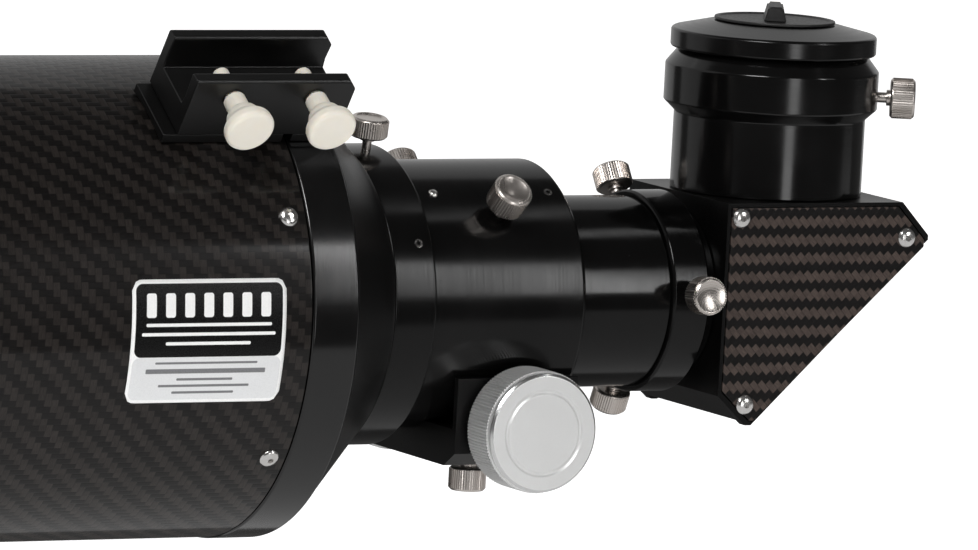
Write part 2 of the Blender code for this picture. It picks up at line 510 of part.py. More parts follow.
# ---------------------------------------------------------------- cradle rings and bar
def cradle(tag, x):
    start, end = x - CRADLE_HALF_L, x + CRADLE_HALF_L
    radius, bore, foot, seam = CRADLE_R, CRADLE_BORE, BAR_TOP + GAP, 1.0
    hinge_y, bolt_y, ear = radius + PIN_OUT, -radius - BOLT_OUT, radius + EAR
    shoulder = [(hinge_y, seam), (hinge_y, KNUCKLE_R), (radius - 1, 14)]
    wing = [(1 - radius, 14), (-ear, 10), (-ear, seam)]
    upper = shoulder + arc(radius, 16, 164, 20) + wing + arc(bore, 179.2, 0.8, 22)
    lower = [(a, -b) for a, b in shoulder] + arc(radius, -16, -62, 6) + [(30, foot), (-30, foot)] \
        + arc(radius, -118, -164, 6) + [(a, -b) for a, b in wing] + arc(bore, -179.2, -0.8, 22)
    cap = pushed("cradle_%s_upper" % tag, upper, start, end, "anodised", END)
    base = pushed("cradle_%s_lower" % tag, lower, start, end, "anodised", END)

    # hinge: the cap's knuckle runs between the base's two, all on one pin
    pin, along, room = (x, hinge_y, 0), (1, 0, 0), KNUCKLE_R + 2 * GAP
    inner, outer, past = KNUCKLE_HALF, CRADLE_HALF_L, CRADLE_HALF_L + 5
    sides = ((-outer, -inner - 2 * GAP), (inner + 2 * GAP, outer))
    for low, high in ((-past, -inner), (inner, past)):
        boolean(cap, rod_cutter(pin, along, low, high, room, MIDDLE))
    boolean(base, rod_cutter(pin, along, -inner - 2 * GAP, inner + 2 * GAP, room, MIDDLE))
    boolean(cap, rod_cutter(pin, along, -inner, inner, KNUCKLE_R, MIDDLE), 'UNION')
    for low, high in sides:
        boolean(base, rod_cutter(pin, along, low, high, KNUCKLE_R, MIDDLE), 'UNION')
    for piece in (cap, base):
        boolean(piece, rod_cutter(pin, along, -past, past, bearing(PIN_R, SMALL)))
    set_origin(cap, pin)
    reach = outer + 1.5
    outline = [(-reach, 0), (-reach, PIN_R), (reach, PIN_R), (reach, 0)]
    turned("hinge_pin_%s" % tag, outline, "steel", pin, along, SMALL)

    # clamp bolt: a hole in the cap, and in the base a slot open outwards for it to swing from
    bolt, up, slack = (x, bolt_y, 0), (0, 0, 1), BOLT_R + 2 * GAP
    boolean(cap, rod_cutter(bolt, up, -20, 20, BOLT_R + GAP))
    boolean(base, block_cutter((x - slack, x + slack), (-ear - 1, bolt_y + slack), (-20, 1)))
    outline = [(-9, 0), (-9, BOLT_R), (13.8, BOLT_R), (13.8, 6.5), (16, 6.5), (17, 10.5), (18, 11.5),
               (27, 11.5), (28, 10.5), (28, 0)]
    turned("clamp_knob_%s" % tag, outline, "black_plastic", bolt, up, 20)


def dovetail_bar():
    base, narrow = BAR_TOP - BAR_T, BAR_HALF_W - 7.3
    outline = [(-BAR_HALF_W, base), (BAR_HALF_W, base), (narrow, BAR_TOP - 3), (narrow, BAR_TOP),
               (-narrow, BAR_TOP), (-narrow, BAR_TOP - 3)]
    pushed("dovetail_bar", outline, BAR_CENTRE - BAR_HALF_L, BAR_CENTRE + BAR_HALF_L, "anodised", END)


new_scene()
main_tube()
objective()
dew_shield()
rear_end()
focuser_body()
pinion_block()
drawtube()
pinion()
eyepiece_holder()
diagonal()
eyepiece_barrel()
adapter_and_plug()
finder_shoe()
for ring_tag, ring_x in zip(("front", "rear"), CRADLE_X):
    cradle(ring_tag, ring_x)
dovetail_bar()
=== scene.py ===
import json
import math
import bmesh
import bpy
from mathutils import Matrix, Vector


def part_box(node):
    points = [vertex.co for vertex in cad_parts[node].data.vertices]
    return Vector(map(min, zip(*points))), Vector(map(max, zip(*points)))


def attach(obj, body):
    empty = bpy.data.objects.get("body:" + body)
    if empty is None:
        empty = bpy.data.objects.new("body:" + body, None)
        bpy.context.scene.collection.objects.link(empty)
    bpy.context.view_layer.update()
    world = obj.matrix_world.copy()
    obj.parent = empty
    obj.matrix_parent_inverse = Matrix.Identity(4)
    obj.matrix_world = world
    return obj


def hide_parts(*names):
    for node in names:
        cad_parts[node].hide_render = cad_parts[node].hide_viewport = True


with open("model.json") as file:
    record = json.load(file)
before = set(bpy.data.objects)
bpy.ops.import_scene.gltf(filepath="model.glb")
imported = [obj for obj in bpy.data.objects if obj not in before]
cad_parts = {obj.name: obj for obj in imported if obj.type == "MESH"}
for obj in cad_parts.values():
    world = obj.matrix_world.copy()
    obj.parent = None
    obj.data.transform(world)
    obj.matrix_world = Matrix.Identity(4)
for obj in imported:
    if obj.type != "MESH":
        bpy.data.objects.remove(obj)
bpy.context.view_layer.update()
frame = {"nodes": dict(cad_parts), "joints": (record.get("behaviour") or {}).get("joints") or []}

# ---------------------------------------------------------------- main tube
# A rolled tube of woven carbon fibre in clear resin, 3 mm thick, painted matt black inside.
# The 2x2 twill is laid square to the axis, so its ribs climb round the tube as a helix.
MM = 0.001
joint = {j["name"]: j for j in frame["joints"]}
optical_axis, along_x = Vector(joint["tube_turn"]["pos_m"]), Vector((1, 0, 0))


def measured(node, origin=optical_axis, direction=along_x):
    """Least and greatest distance along a line, and greatest radius about it, of a CAD node in mm."""
    points = [(v.co - origin) / MM for v in frame["nodes"][node].data.vertices]
    along = [p.dot(direction) for p in points]
    return min(along), max(along), max((p - a * direction).length for p, a in zip(points, along))


def softened(outline, radius, steps=3):
    """A closed outline with each corner rounded by up to radius, and a row held beside each curve."""
    rounded = []
    for i, corner in enumerate(outline):
        here = Vector(corner)
        back, ahead = Vector(outline[i - 1]) - here, Vector(outline[(i + 1) % len(outline)]) - here
        cut = min(radius, 0.4 * back.length, 0.4 * ahead.length)
        if corner[1] < 1e-6 or cut < 1e-3:
            rounded.append(here)
            continue
        back, ahead = back.normalized() * cut, ahead.normalized() * cut
        rounded.append(here + 1.2 * back)
        for k in range(steps + 1):
            t = k / steps
            rounded.append(here + (1 - t) ** 2 * back + t * t * ahead)
        rounded.append(here + 1.2 * ahead)
    return rounded


def turned(outline, origin=optical_axis, direction=along_x, steps=160):
    """Spin a closed outline of (along, radius) in mm once round a line."""
    shape = bmesh.new()
    ring = [shape.verts.new((radius * MM, 0, along * MM)) for along, radius in outline]
    edges = [shape.edges.new((ring[i - 1], ring[i])) for i in range(len(ring))
             if outline[i - 1][1] > 1e-6 or outline[i][1] > 1e-6]
    bmesh.ops.spin(shape, geom=ring + edges, cent=(0, 0, 0), axis=(0, 0, 1), dvec=(0, 0, 0),
                   angle=2 * math.pi, steps=steps, use_merge=True)
    bmesh.ops.remove_doubles(shape, verts=shape.verts, dist=1e-7)
    turn = direction.to_track_quat('Z', 'Y').to_matrix().to_4x4()
    shape.transform(Matrix.Translation(origin) @ turn)
    bmesh.ops.recalc_face_normals(shape, faces=shape.faces)
    return shape


def stand(name, data):
    """Put a new object with its data in the scene."""
    made = bpy.data.objects.new(name, data)
    bpy.context.scene.collection.objects.link(made)
    return made


def mesh_of(name, shape):
    """Turn a bmesh into a mesh."""
    mesh = bpy.data.meshes.new(name)
    shape.to_mesh(mesh)
    shape.free()
    return mesh


def piece(name, shape, finish, body, *nodes):
    """Make a mesh object of a bmesh, which rides on a body and stands for CAD nodes."""
    mesh = mesh_of(name, shape)
    mesh.shade_smooth()
    mesh.set_sharp_from_angle(angle=math.radians(38))
    mesh.materials.append(finish)
    made = stand(name, mesh)
    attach(made, body)
    if nodes:
        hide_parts(*nodes)
    return made


def lathed(name, node, finish, body, outline, soft, origin=optical_axis, direction=along_x, steps=160):
    """A turned piece with its corners softened by up to soft mm, standing for one CAD node."""
    return piece(name, turned(softened(outline, soft), origin, direction, steps), finish, body, node)


def new_finish(name, slot, colour, roughness, metallic=0.0, **constants):
    """A Principled material, with the record's slot that it belongs to."""
    finish = bpy.data.materials.new(name)
    finish.use_nodes = True
    finish["slot"] = slot
    shader = finish.node_tree.nodes["Principled BSDF"]
    shader.inputs["Base Color"].default_value = (*colour, 1)
    shader.inputs["Roughness"].default_value = roughness
    shader.inputs["Metallic"].default_value = metallic
    for socket, value in constants.items():
        shader.inputs[socket.replace("_", " ")].default_value = value
    return finish


def add(finish, kind, inputs, **settings):
    """Add a node, set its properties, and link or set its inputs."""
    tree = finish.node_tree
    node = tree.nodes.new(kind)
    for key, value in settings.items():
        setattr(node, key, value)
    for key, value in inputs.items():
        if isinstance(value, bpy.types.NodeSocket):
            tree.links.new(value, node.inputs[key])
        else:
            node.inputs[key].default_value = value
    return node


def calc(finish, operation, *values):
    return add(finish, "ShaderNodeMath", dict(enumerate(values)), operation=operation).outputs[0]


def blend_colours(finish, factor, low, high):
    mixed = add(finish, "ShaderNodeMix", {0: factor, 6: low, 7: high}, data_type='RGBA')
    return mixed.outputs[2]


def connect(finish, **sockets):
    """Link outputs to the Principled shader's sockets."""
    for socket, output in sockets.items():
        shader = finish.node_tree.nodes["Principled BSDF"]
        finish.node_tree.links.new(output, shader.inputs[socket.replace("_", " ")])


def object_place(finish, centre=(0, 0, 0), scale=(1, 1, 1), rotation=(0, 0, 0)):
    """Object coordinates, centred on a point, turned and then scaled."""
    place = add(finish, "ShaderNodeTexCoord", {}).outputs["Object"]
    centred = add(finish, "ShaderNodeVectorMath", {0: place, 1: tuple(centre)}, operation='SUBTRACT')
    mapping = {"Vector": centred.outputs[0], "Rotation": rotation, "Scale": scale}
    return add(finish, "ShaderNodeMapping", mapping).outputs[0]


def noise(finish, place, scale, detail=3.0):
    inputs = {"Vector": place, "Scale": scale, "Detail": detail}
    return add(finish, "ShaderNodeTexNoise", inputs).outputs["Fac"]


def between(finish, value, low, high, to_low=0.0, to_high=1.0):
    inputs = {"Value": value, "From Min": low, "From Max": high, "To Min": to_low, "To Max": to_high}
    return add(finish, "ShaderNodeMapRange", inputs).outputs[0]


def bump(finish, height, depth, strength=1.0):
    inputs = {"Height": height, "Distance": depth, "Strength": strength}
    return add(finish, "ShaderNodeBump", inputs).outputs[0]


def twill(finish, across, up, warp_sheen_colour, weft_colour, depth):
    """2x2 twill on two coordinates counted in tows: every tow passes over two and under two. The warp tows
    are painted lighter than the weft tows, a painted sheen on the same black fibre.
    """
    column, row = calc(finish, 'FLOOR', across), calc(finish, 'FLOOR', up)
    step = calc(finish, 'MODULO', calc(finish, 'ADD', calc(finish, 'ADD', column, row), 4000), 4)
    warp = calc(finish, 'LESS_THAN', step, 1.5)
    # fibres run lengthways in each tow, and each tow is a low crown; the crown also darkens the colour
    # towards each tow's edges as painted shade
    inside = [calc(finish, 'FRACT', across), calc(finish, 'FRACT', up)]
    crown = []
    for share in inside:
        half = calc(finish, 'ABSOLUTE', calc(finish, 'SUBTRACT', share, 0.5))
        fall = calc(finish, 'POWER', calc(finish, 'MULTIPLY', half, 2), 4)
        crown.append(calc(finish, 'SUBTRACT', 1.0, fall))
    fibres = []
    for fine, coarse in ((across, up), (up, across)):
        place = add(finish, "ShaderNodeCombineXYZ", {0: calc(finish, 'MULTIPLY', fine, 16.0), 1: coarse})
        fibres.append(noise(finish, place.outputs[0], 1.0, 2.0))
    height = add(finish, "ShaderNodeMix", {0: warp, 2: crown[1], 3: crown[0]}).outputs[0]
    fibre = add(finish, "ShaderNodeMix", {0: warp, 2: fibres[1], 3: fibres[0]}).outputs[0]
    tows = add(finish, "ShaderNodeCombineXYZ", {0: column, 1: row}).outputs[0]
    tone = add(finish, "ShaderNodeTexWhiteNoise", {"Vector": tows}, noise_dimensions='2D').outputs["Value"]
    # painted sheen: where the warp is on top the tow takes the lighter warp colour, elsewhere the dark weft
    # colour
    woven = blend_colours(finish, warp, (*weft_colour, 1), (*warp_sheen_colour, 1))
    shade = calc(finish, 'ADD', between(finish, fibre, 0.3, 0.7, 0.55, 1.3),
                 between(finish, tone, 0, 1, -0.12, 0.18))
    # painted shade: the colour falls to half towards the edges of each tow, where it dips under its neighbour
    edge = between(finish, height, 0.0, 0.6, 0.5, 1.0)
    streaks_and_edge_shade = calc(finish, 'MULTIPLY', shade, edge)
    scaled = add(finish, "ShaderNodeVectorMath", {0: woven, "Scale": streaks_and_edge_shade}, operation='SCALE').outputs[0]
    connect(finish, Base_Color=scaled, Normal=bump(finish, height, depth, 0.6),
            Roughness=between(finish, fibre, 0.3, 0.7, 0.34, 0.5))


# tows round the tube, a multiple of the repeat of four, and the width of one along it in mm
WEAVE_TOWS, TOW_LENGTH = 220, 2.42
low, high, radius = measured("main_tube")
wall = 3.0                        # mm
carbon_tube = new_finish("carbon_twill", "carbon", (0.05, 0.045, 0.04), 0.45, Coat_Weight=0.45,
                         Coat_Roughness=0.1, Specular_IOR_Level=0.08)
weave_place = add(carbon_tube, "ShaderNodeSeparateXYZ",
                  {0: add(carbon_tube, "ShaderNodeUVMap", {}, uv_map="weave").outputs[0]})
# the first colour is the lighter warp, a painted sheen; the second is the weft's own near-black
twill(carbon_tube, weave_place.outputs[0], weave_place.outputs[1],
      (0.0175, 0.0145, 0.0130), (0.0048, 0.0042, 0.0039), 0.00012)
matt_black = new_finish("matt_black_paint", "inner_black", (0.012, 0.012, 0.012), 0.85)
grain = noise(matt_black, object_place(matt_black), 900.0)
connect(matt_black, Normal=bump(matt_black, grain, 0.0002, 0.4),
        Base_Color=blend_colours(matt_black, grain, (0.006, 0.006, 0.006, 1), (0.02, 0.02, 0.019, 1)))

outer = turned(softened([(low, radius - wall), (low, radius), (high, radius), (high, radius - wall)], 0.4),
               steps=192)
weave_uv = outer.loops.layers.uv.new("weave")
for face in outer.faces:
    middle = face.calc_center_median() - optical_axis
    face_angle = math.atan2(middle.z, -middle.y)
    for loop in face.loops:
        place = loop.vert.co - optical_axis
        angle = math.atan2(place.z, -place.y)
        angle += 2 * math.pi * round((face_angle - angle) / (2 * math.pi))
        loop[weave_uv].uv = (place.x / MM / TOW_LENGTH, angle / (2 * math.pi) * WEAVE_TOWS)
tube = piece("carbon_tube", outer, carbon_tube, "tube", "main_tube")
tube.data.materials.append(matt_black)
for polygon in tube.data.polygons:
    middle = Vector(polygon.center) - optical_axis
    inwards = Vector((0, middle.y, middle.z)).dot(polygon.normal) < 0
    polygon.material_index = 1 if inwards else 0
for number in (1, 2, 3):
    start, end, edge = measured("baffle_%d" % number)
    opening = min((Vector((0, v.co.y, v.co.z)) - Vector((0, 0, optical_axis.z))).length
                  for v in frame["nodes"]["baffle_%d" % number].data.vertices) / MM
    knife = [(start, opening), (start, edge), (end, edge), (end, opening + 1.5)]
    lathed("tube_baffle_%d" % number, "baffle_%d" % number, matt_black, "tube", knife, 0.2)


# ---------------------------------------------------------------- maker's plate
# A printed vinyl label on the near side of the tube: white edge, black upper part and pale grey
# lower part. Plain bars stand where a maker's words would be.
LABEL_REAR, LABEL_LONG, LABEL_TOP, LABEL_BOTTOM = -9.2, 53.4, 11.9, -17.5     # mm, mm, degrees, degrees
label_high = math.radians(LABEL_TOP - LABEL_BOTTOM) * radius
vinyl = new_finish("printed_vinyl", "carbon", (0.8, 0.8, 0.8), 0.32, Coat_Weight=0.1,
                   Coat_Roughness=0.12, Specular_IOR_Level=0.15)
sheet = add(vinyl, "ShaderNodeSeparateXYZ", {0: add(vinyl, "ShaderNodeUVMap", {}, uv_map="print").outputs[0]})
label_x, label_y = sheet.outputs[0], sheet.outputs[1]


def printed_box(left, right, bottom, top, corner):
    """1 inside a round-cornered box given in mm from the label's lower left corner, else 0."""
    def past(value, centre, half):
        return calc(vinyl, 'MAXIMUM', calc(vinyl, 'SUBTRACT', calc(
            vinyl, 'ABSOLUTE', calc(vinyl, 'SUBTRACT', value, centre)), half - corner), 0.0)
    wide = past(label_x, (left + right) / 2, (right - left) / 2)
    tall = past(label_y, (bottom + top) / 2, (top - bottom) / 2)
    squares = calc(vinyl, 'ADD', calc(vinyl, 'POWER', wide, 2), calc(vinyl, 'POWER', tall, 2))
    return between(vinyl, calc(vinyl, 'SQRT', squares), corner + 0.06, corner - 0.06)


band_edge = label_high * 0.38
white_ink, black_ink, grey_ink = (0.84, 0.84, 0.83, 1), (0.005, 0.005, 0.005, 1), (0.66, 0.665, 0.67, 1)
panel = printed_box(1.3, LABEL_LONG - 1.3, band_edge, label_high - 1.3, 2.4)
lower = printed_box(1.0, LABEL_LONG - 1.0, 1.0, band_edge - 0.1, 2.4)
inked = blend_colours(vinyl, lower, white_ink, grey_ink)
inked = blend_colours(vinyl, panel, inked, black_ink)
blocks = None
for share in range(7):            # a row of tall upright bars, like a serial scale
    left = 5.0 + share * 6.6
    bar = printed_box(left, left + 3.4, label_high - 11.8, label_high - 4.3, 0.8)
    blocks = bar if blocks is None else calc(vinyl, 'MAXIMUM', blocks, bar)
for height, inset in ((14.6, 5.0), (17.5, 3.6), (20.4, 12.0)):
    bar = printed_box(inset, LABEL_LONG - inset, label_high - height, label_high - height + 1.0, 0.4)
    blocks = calc(vinyl, 'MAXIMUM', blocks, bar)
inked = blend_colours(vinyl, blocks, inked, white_ink)
notes = None
for height, inset, thick in ((12.6, 9, 0.7), (9.6, 6, 1.5), (7.3, 17, 0.8), (5.2, 11, 0.8), (3.0, 16, 0.8)):
    bar = printed_box(inset, LABEL_LONG - inset, height, height + thick, 0.3)
    notes = bar if notes is None else calc(vinyl, 'MAXIMUM', notes, bar)
inked = blend_colours(vinyl, calc(vinyl, 'MULTIPLY', notes, 0.8), inked, (0.05, 0.05, 0.055, 1))
speck = noise(vinyl, object_place(vinyl), 2500.0)
shaded = add(vinyl, "ShaderNodeVectorMath", {0: inked, "Scale": between(vinyl, speck, 0.3, 0.7, 0.97, 1.02)},
             operation='SCALE').outputs[0]
connect(vinyl, Base_Color=shaded, Roughness=between(vinyl, speck, 0.3, 0.7, 0.22, 0.34),
        Normal=bump(vinyl, noise(vinyl, object_place(vinyl), 90.0), 0.0006, 0.1))
label_shape = bmesh.new()
label_uv = label_shape.loops.layers.uv.new("print")
corner, columns, rows = 3.4, 40, 24
for k in range(columns + 1):      # strips up the label, each cut to the round-cornered outline
    a = 0.001 + (LABEL_LONG - 0.002) * k / columns
    inset = max(corner - a, corner - (LABEL_LONG - a), 0.0)
    trim = corner - math.sqrt(max(corner ** 2 - inset ** 2, 0.0))
    for share in range(rows + 1):
        b = trim + (label_high - 2 * trim) * share / rows
        angle = math.radians(LABEL_BOTTOM) + b / radius
        out = Vector((0, -math.cos(angle), math.sin(angle)))
        x = LABEL_REAR - LABEL_LONG + a
        label_shape.verts.new(optical_axis + MM * (Vector((x, 0, 0)) + (radius + 0.06) * out))
label_shape.verts.ensure_lookup_table()
for k in range(columns):
    for share in range(rows):
        first, beside = (rows + 1) * k + share, (rows + 1) * (k + 1) + share
        face = label_shape.faces.new([label_shape.verts[c] for c in (first, beside, beside + 1, first + 1)])
        for loop in face.loops:
            place = (loop.vert.co - optical_axis) / MM
            rise = math.atan2(place.z, -place.y) - math.radians(LABEL_BOTTOM)
            loop[label_uv].uv = (place.x - LABEL_REAR + LABEL_LONG, rise * radius)
bmesh.ops.recalc_face_normals(label_shape, faces=label_shape.faces)
label = piece("tube_label", label_shape, vinyl, "tube")
film = label.modifiers.new("film", 'SOLIDIFY')
film.thickness, film.offset = 0.00012, 1.0


# ---------------------------------------------------------------- objective
# Three elements in a black anodised cell, held by a threaded ring, with blackened spacers.
# The cell is turned from one billet, so its faces keep the fine rings of the lathe tool.
def anodised(name, centre, direction, roughness, colour=(0.0022, 0.0021, 0.0021), specular=0.32, mark=0.35):
    """Black anodised aluminium with lathe rings along a direction, or bead-blasted where it is None."""
    finish = new_finish(name, "anodised", colour, roughness, Specular_IOR_Level=specular)
    fine = (1, 1, 1)
    if direction is not None:
        fine = tuple(1.0 if abs(part) > 0.5 else 0.004 for part in direction)
    rings = noise(finish, object_place(finish, centre, fine), 2600.0, 2.0)
    cloud = noise(finish, object_place(finish, centre), 34.0, 4.0)
    dust = noise(finish, object_place(finish, centre), 1500.0, 1.0)
    tone = blend_colours(finish, between(finish, cloud, 0.35, 0.65), (*[0.8 * c for c in colour], 1),
                         (*[1.35 * c for c in colour], 1))
    specks = calc(finish, 'MULTIPLY', between(finish, dust, 0.74, 0.80), 0.25)
    tone = blend_colours(finish, specks, tone, (0.03, 0.029, 0.028, 1))
    spread = calc(finish, 'ADD', between(finish, cloud, 0.3, 0.7, roughness - 0.03, roughness + 0.04),
                  between(finish, rings, 0.3, 0.7, -0.02, 0.03))
    connect(finish, Base_Color=tone, Roughness=spread, Normal=bump(finish, rings, 0.00002, mark))
    return finish


turned_black = anodised("turned_black_anodised", optical_axis, along_x, 0.17, specular=0.25)
start, end, edge = measured("objective_cell")
mouth, bore = end - 14.0, measured("main_tube")[2] - wall - 0.3
lens_edge = measured("lens_front")[2]
seat, ledge, pocket, lip = end, lens_edge - 4, lens_edge + 0.3, 6.0
grooves = []
for k in range(3):                # grip grooves round the front of the cell
    x = start + 8 + 5 * k
    grooves += [(x, edge), (x + 0.5, edge - 0.9), (x + 1.5, edge - 0.9), (x + 2, edge)]
outline = [(start, pocket), (start, edge - 1)] + [(start + 1, edge)] + grooves + [
    (mouth, edge), (mouth, bore), (seat, bore), (seat, ledge), (seat - lip, ledge), (seat - lip, pocket)]
lathed("lens_cell", "objective_cell", turned_black, "tube", outline, 0.5)
start, end, edge = measured("lens_retaining_ring")
outline = [(start, edge - 3), (start, edge), (end, edge), (end, edge - 3)]
lathed("lens_ring", "lens_retaining_ring", turned_black, "tube", outline, 0.4)

glass = new_finish("coated_glass", "glass", (0.95, 0.99, 0.97), 0.02, Transmission_Weight=1.0, IOR=1.52,
                   Coat_Weight=0.6, Coat_Roughness=0.02, Coat_Tint=(0.55, 0.95, 0.70, 1),
                   Thin_Film_Thickness=330.0)
smear = noise(glass, object_place(glass), 25.0)
connect(glass, Roughness=between(glass, smear, 0.3, 0.8, 0.0, 0.05))
for name, edge_name in (("lens_front", "front_element"), ("lens_middle", "middle_element"),
                        ("lens_rear", "rear_element")):
    start, end, edge = measured(name)
    rows = sorted({(round((v.co - optical_axis).x / MM, 3),
                    round(Vector((0, v.co.y, v.co.z - optical_axis.z)).length / MM, 2))
                   for v in frame["nodes"][name].data.vertices})
    rim = [x for x, r in rows if r > edge - 0.1]
    poles = [x for x, r in rows if r < 0.1]
    outline = []
    for pole, side in ((poles[0], rim[0]), (poles[-1], rim[-1])):
        curve = [(pole + (side - pole) * (k / 12) ** 2, edge * k / 12) for k in range(13)]
        outline += curve if side == rim[0] else curve[::-1]
    piece(edge_name, turned(outline), glass, "tube", name)
for name in ("lens_spacer_rear", "lens_spacer_front"):
    start, end, edge = measured(name)
    outline = [(start, edge - 2.5), (start, edge), (end, edge), (end, edge - 2.5)]
    lathed(name + "_ring", name, matt_black, "tube", outline, 0.1)


# ---------------------------------------------------------------- thumbscrews
# Nickel-plated brass thumbscrews with a straight-knurled head. The ribs are laid round each
# head by one node tree, and each head is turned with a stem, a neck and its own kind of face.
def new_tree(name, *inputs):
    """A geometry node tree with named inputs, each given as (name, kind, default value)."""
    tree = bpy.data.node_groups.new(name, "GeometryNodeTree")
    tree.interface.new_socket("Geometry", in_out='OUTPUT', socket_type='NodeSocketGeometry')
    for title, kind, default in inputs:
        socket = tree.interface.new_socket(title, in_out='INPUT', socket_type="NodeSocket" + kind)
        if default is not None:
            socket.default_value = default
    return tree, tree.nodes.new, tree.links.new, tree.nodes.new("NodeGroupInput").outputs


def end_tree(made, link, given, laid):
    """Turn the copies into real mesh and give them the tree's Finish."""
    real, paint = made("GeometryNodeRealizeInstances"), made("GeometryNodeSetMaterial")
    link(laid, real.inputs[0])
    link(real.outputs[0], paint.inputs["Geometry"])
    link(given["Finish"], paint.inputs["Material"])
    link(paint.outputs[0], made("NodeGroupOutput").inputs[0])


def rib_tree():
    """Ribs laid round a circle: count, radius, rib size and length are its inputs."""
    tree, made, link, given = new_tree(
        "knurl", ("Count", "Int", 30), ("Radius", "Float", 0.006), ("Rib Size", "Float", 0.0003),
        ("Rib Length", "Float", 0.006), ("Middle", "Vector", (0, 0, 0)), ("Turn", "Rotation", (0, 0, 0)),
        ("Finish", "Material", None))
    circle, rib = made("GeometryNodeMeshCircle"), made("GeometryNodeMeshCylinder")
    link(given["Count"], circle.inputs["Vertices"])
    link(given["Radius"], circle.inputs["Radius"])
    rib.inputs["Vertices"].default_value = 6
    link(given["Rib Size"], rib.inputs["Radius"])
    link(given["Rib Length"], rib.inputs["Depth"])
    place, laid = made("GeometryNodeInputPosition"), made("GeometryNodeInstanceOnPoints")
    spin = made("FunctionNodeAlignRotationToVector")
    spin.axis = 'X'
    link(place.outputs[0], spin.inputs["Vector"])
    link(circle.outputs[0], laid.inputs["Points"])
    link(rib.outputs["Mesh"], laid.inputs["Instance"])
    link(spin.outputs[0], laid.inputs["Rotation"])
    put = made("GeometryNodeTransform")
    link(laid.outputs[0], put.inputs["Geometry"])
    link(given["Middle"], put.inputs["Translation"])
    link(given["Turn"], put.inputs["Rotation"])
    end_tree(made, link, given, put.outputs[0])
    return tree


knurl = rib_tree()


def make_real(thing):
    """Give an object the mesh that its modifiers make, and take the modifiers off."""
    graph = bpy.context.evaluated_depsgraph_get()
    graph.update()
    mesh = bpy.data.meshes.new_from_object(thing.evaluated_get(graph), depsgraph=graph)
    thing.modifiers.clear()
    thing.data = mesh


def made_by(tree, name, body, slot, **settings):
    """Run a node tree and keep its result as a plain mesh that rides on a body."""
    made = stand(name, bpy.data.meshes.new(name))
    step = made.modifiers.new("made", 'NODES')
    step.node_group = tree
    socket = {item.name: item.identifier for item in tree.interface.items_tree if item.in_out == 'INPUT'}
    for key, value in settings.items():
        step[socket[key.replace("_", " ")]] = value
    make_real(made)
    made.data.set_sharp_from_angle(angle=math.radians(50))
    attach(made, body)
    return made


def knurled(name, body, slot, finish, origin, direction, start, end, radius, count, size):
    """Straight ribs sunk half-way into a round head, from start to end along its axis in mm."""
    turn = direction.to_track_quat('Z', 'Y').to_euler()
    middle = origin + direction * MM * (start + end) / 2
    return made_by(knurl, name, body, slot, Count=count, Radius=(radius - 0.1 * size) * MM,
                   Rib_Size=size * MM, Rib_Length=(end - start) * MM, Middle=tuple(middle),
                   Turn=tuple(turn), Finish=finish)


def mottled(finish, pattern, roughness, low, high):
    """Vary a finish's roughness between two values, and its colour, by one pattern."""
    connect(finish, Roughness=between(finish, pattern, 0.3, 0.7, *roughness),
            Base_Color=blend_colours(finish, pattern, (*low, 1), (*high, 1)))


nickel = new_finish("nickel_plate", "nickel", (0.60, 0.555, 0.52), 0.3, 1.0)
mottled(nickel, noise(nickel, object_place(nickel), 160.0, 4.0), (0.24, 0.36), (0.66, 0.60, 0.555),
        (0.80, 0.75, 0.71))
connect(nickel, Normal=bump(nickel, noise(nickel, object_place(nickel), 2400.0, 2.0), 0.00003, 0.25))
# the near screw of the holder is faced with rings about its own axis
near_screw = Vector(joint["holder_screw_1_turn"]["pos_m"])
lathed_nickel = new_finish("lathed_nickel_face", "nickel", (0.70, 0.65, 0.60), 0.26, 1.0)
from_axis = add(lathed_nickel, "ShaderNodeVectorMath",
                {0: object_place(lathed_nickel, near_screw, (1, 0, 1))}, operation='LENGTH').outputs["Value"]
rings = add(lathed_nickel, "ShaderNodeTexNoise", {"W": from_axis, "Scale": 2200.0, "Detail": 1.0},
            noise_dimensions='1D').outputs["Fac"]
mottled(lathed_nickel, rings, (0.2, 0.3), (0.60, 0.55, 0.51), (0.76, 0.71, 0.67))
connect(lathed_nickel, Normal=bump(lathed_nickel, rings, 0.00002, 0.12))
THUMBSCREWS = {                   # node: (joint, body, kind of face, mm that the head is long)
    "dew_shield_lock_screw": ("dew_shield_screw_turn", "dew_shield_screw", "dished", 7.8),
    "collar_lock_screw": ("collar_screw_turn", "collar_screw", "dished", 6.5),
    "focuser_lock_screw": ("focuser_lock_turn", "focuser_lock", "cone", 8.6),
    "drawtube_tension_screw": ("drawtube_tension_turn", "drawtube_tension", "cone", 8.6),
    "pinion_tension_screw": ("pinion_tension_turn", "pinion_tension", "dished", 7.6),
    "holder_screw_near": ("holder_screw_1_turn", "holder_screw_1", "lathed", 7.2),
    "holder_screw_top": ("holder_screw_2_turn", "holder_screw_2", "dished", 7.2),
    "holder_screw_bottom": ("holder_screw_3_turn", "holder_screw_3", "dished", 7.2),
    "eyepiece_lock_screw": ("eyepiece_lock_turn", "eyepiece_lock", "dished", 8.0),
}
